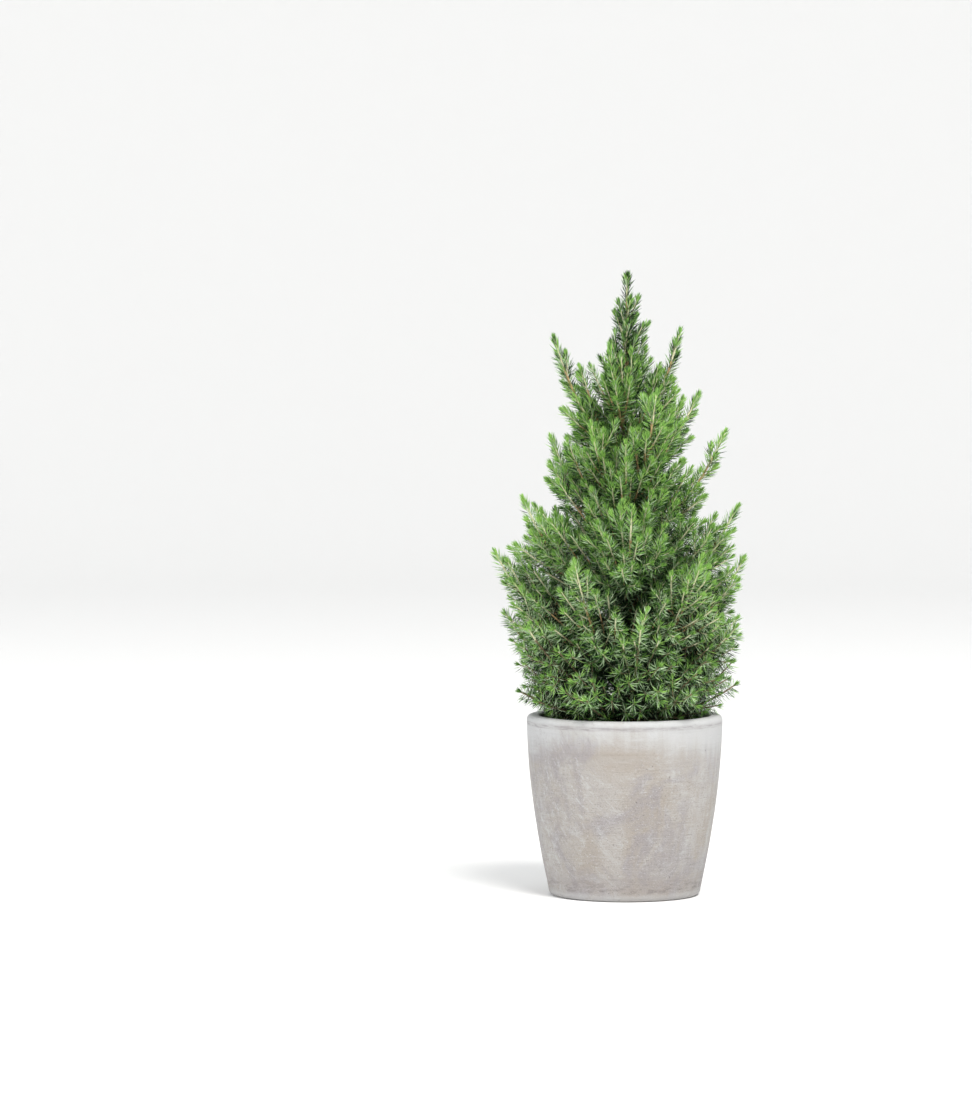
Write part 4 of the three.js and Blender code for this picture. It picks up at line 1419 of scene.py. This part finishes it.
class SPRUCE_OT_needles(bpy.types.Operator):
    """Sets needles all round the shoots, in pieces by tone."""

    bl_idname = "spruce.needles"
    bl_label = "Needles"

    def execute(self, context):
        sizes, colours = settings()
        rng = np.random.default_rng(sizes.seed + 1)
        made = [needles(shoots, sizes, rng) for shoots in crown_shoots(sizes)]
        shapes = np.concatenate([shape for shape, _ in made])
        numbers = np.concatenate([number for _, number in made])
        for i, tone in enumerate([*TONES, BLOOM_AND_GLINT]):
            chosen = shapes[numbers == i]
            if not len(chosen):
                raise RuntimeError(f"no needles have the tone {tone}")
            first = (np.arange(len(chosen)) * chosen.shape[1])[:, None, None]
            faces = (NEEDLE_FACES + first).reshape(-1, 3)
            piece = mesh_object(f"needles_{tone}", chosen.reshape(-1, 3), [faces], False)
            material = needle_material(tone, getattr(colours, tone))
            finish_piece(piece, material, FOLIAGE_NODES)
        return {"FINISHED"}


class SPRUCE_OT_stage(bpy.types.Operator):
    """Sets up the pale floor that curves up all round, the soft light and the camera."""

    bl_idname = "spruce.stage"
    bl_label = "Stage"

    def execute(self, context):
        scene = context.scene
        stage = scene.spruce_stage
        self.floor(stage.floor)
        for name, (place, size, share, tint) in LAMPS.items():
            self.lamp(name, place, size, stage.key_power * share, tint)

        world = bpy.data.worlds.new("studio_sky")
        world.use_nodes = True
        background = world.node_tree.nodes["Background"]
        background.inputs["Color"].default_value = SKY_TINT
        background.inputs["Strength"].default_value = stage.sky
        scene.world = world
        scene.view_settings.view_transform = "Standard"

        camera = bpy.data.cameras.new("camera")
        camera.lens = LENS
        camera.sensor_width = SENSOR
        camera.clip_end = CAMERA_SIGHT
        holder = bpy.data.objects.new("camera", camera)
        holder.location = (CAMERA_SIDE, -stage.distance, CAMERA_HEIGHT)
        holder.rotation_euler = (math.radians(90 - CAMERA_DOWN), 0.0, 0.0)
        scene.collection.objects.link(holder)
        scene.camera = holder
        return {"FINISHED"}

    @staticmethod
    def floor(colour):
        """A round floor, a quarter circle that bends up from it, and an upright wall."""
        outline = [
            ([FLOOR_MIDDLE], [0.0]),
            arc(FLOOR_FLAT, FLOOR_BEND, FLOOR_BEND, -90, 0, 24),
            ([FLOOR_FLAT + FLOOR_BEND], [FLOOR_WALL]),
        ]
        grid = lathe(outline, FLOOR_SEGMENTS)
        points = np.concatenate([grid.reshape(-1, 3), [(0, 0, 0)]])
        faces = [
            wall_faces(len(grid), FLOOR_SEGMENTS)[:, ::-1],
            fan_faces(np.arange(FLOOR_SEGMENTS), len(points) - 1, True),
        ]
        floor = mesh_object("studio_floor", points, faces)
        material, _, shader = new_material("studio_floor", Roughness=0.9)
        shader.inputs["Base Color"].default_value = rgba(colour)
        floor.data.materials.append(material)

    @staticmethod
    def lamp(name, place, size, power, tint):
        """A soft round lamp that faces the plant."""
        data = bpy.data.lights.new(name, "AREA")
        data.shape = "DISK"
        data.size = size
        data.energy = power
        data.color = tint
        made = bpy.data.objects.new(name, data)
        made.location = place
        x, y, z = np.array(LAMP_TARGET) - np.array(place)
        tilt = math.acos(-z / math.hypot(x, y, z))
        made.rotation_euler = (tilt, 0.0, math.atan2(y, x) - math.pi / 2)
        bpy.context.scene.collection.objects.link(made)


class SPRUCE_PT_panel(bpy.types.Panel):
    """Lists the spruce's operators and settings."""

    bl_label = "Potted dwarf spruce"
    bl_idname = "SPRUCE_PT_panel"
    bl_space_type = "VIEW_3D"
    bl_region_type = "UI"
    bl_category = "Spruce"

    def draw(self, context):
        for operator in OPERATORS:
            self.layout.operator(operator.bl_idname)
        scene = context.scene
        for group in (scene.spruce_sizes, scene.spruce_colours, scene.spruce_stage):
            box = self.layout.box()
            for name in group.__annotations__:
                box.prop(group, name)


OPERATORS = (
    SPRUCE_OT_pot,
    SPRUCE_OT_soil,
    SPRUCE_OT_wood,
    SPRUCE_OT_twigs,
    SPRUCE_OT_needles,
    SPRUCE_OT_stage,
)
CLASSES = (SpruceSizes, SpruceColours, SpruceStage, *OPERATORS, SPRUCE_PT_panel)


def register():
    for item in CLASSES:
        bpy.utils.register_class(item)
    bpy.types.Scene.spruce_sizes = bpy.props.PointerProperty(type=SpruceSizes)
    bpy.types.Scene.spruce_colours = bpy.props.PointerProperty(type=SpruceColours)
    bpy.types.Scene.spruce_stage = bpy.props.PointerProperty(type=SpruceStage)


def unregister():
    del bpy.types.Scene.spruce_stage
    del bpy.types.Scene.spruce_colours
    del bpy.types.Scene.spruce_sizes
    for item in reversed(CLASSES):
        bpy.utils.unregister_class(item)


def main():
    register()
    bpy.ops.spruce.pot()
    bpy.ops.spruce.soil()
    bpy.ops.spruce.wood()
    bpy.ops.spruce.twigs()
    bpy.ops.spruce.needles()
    bpy.ops.spruce.stage()


if __name__ == "__main__":
    main()
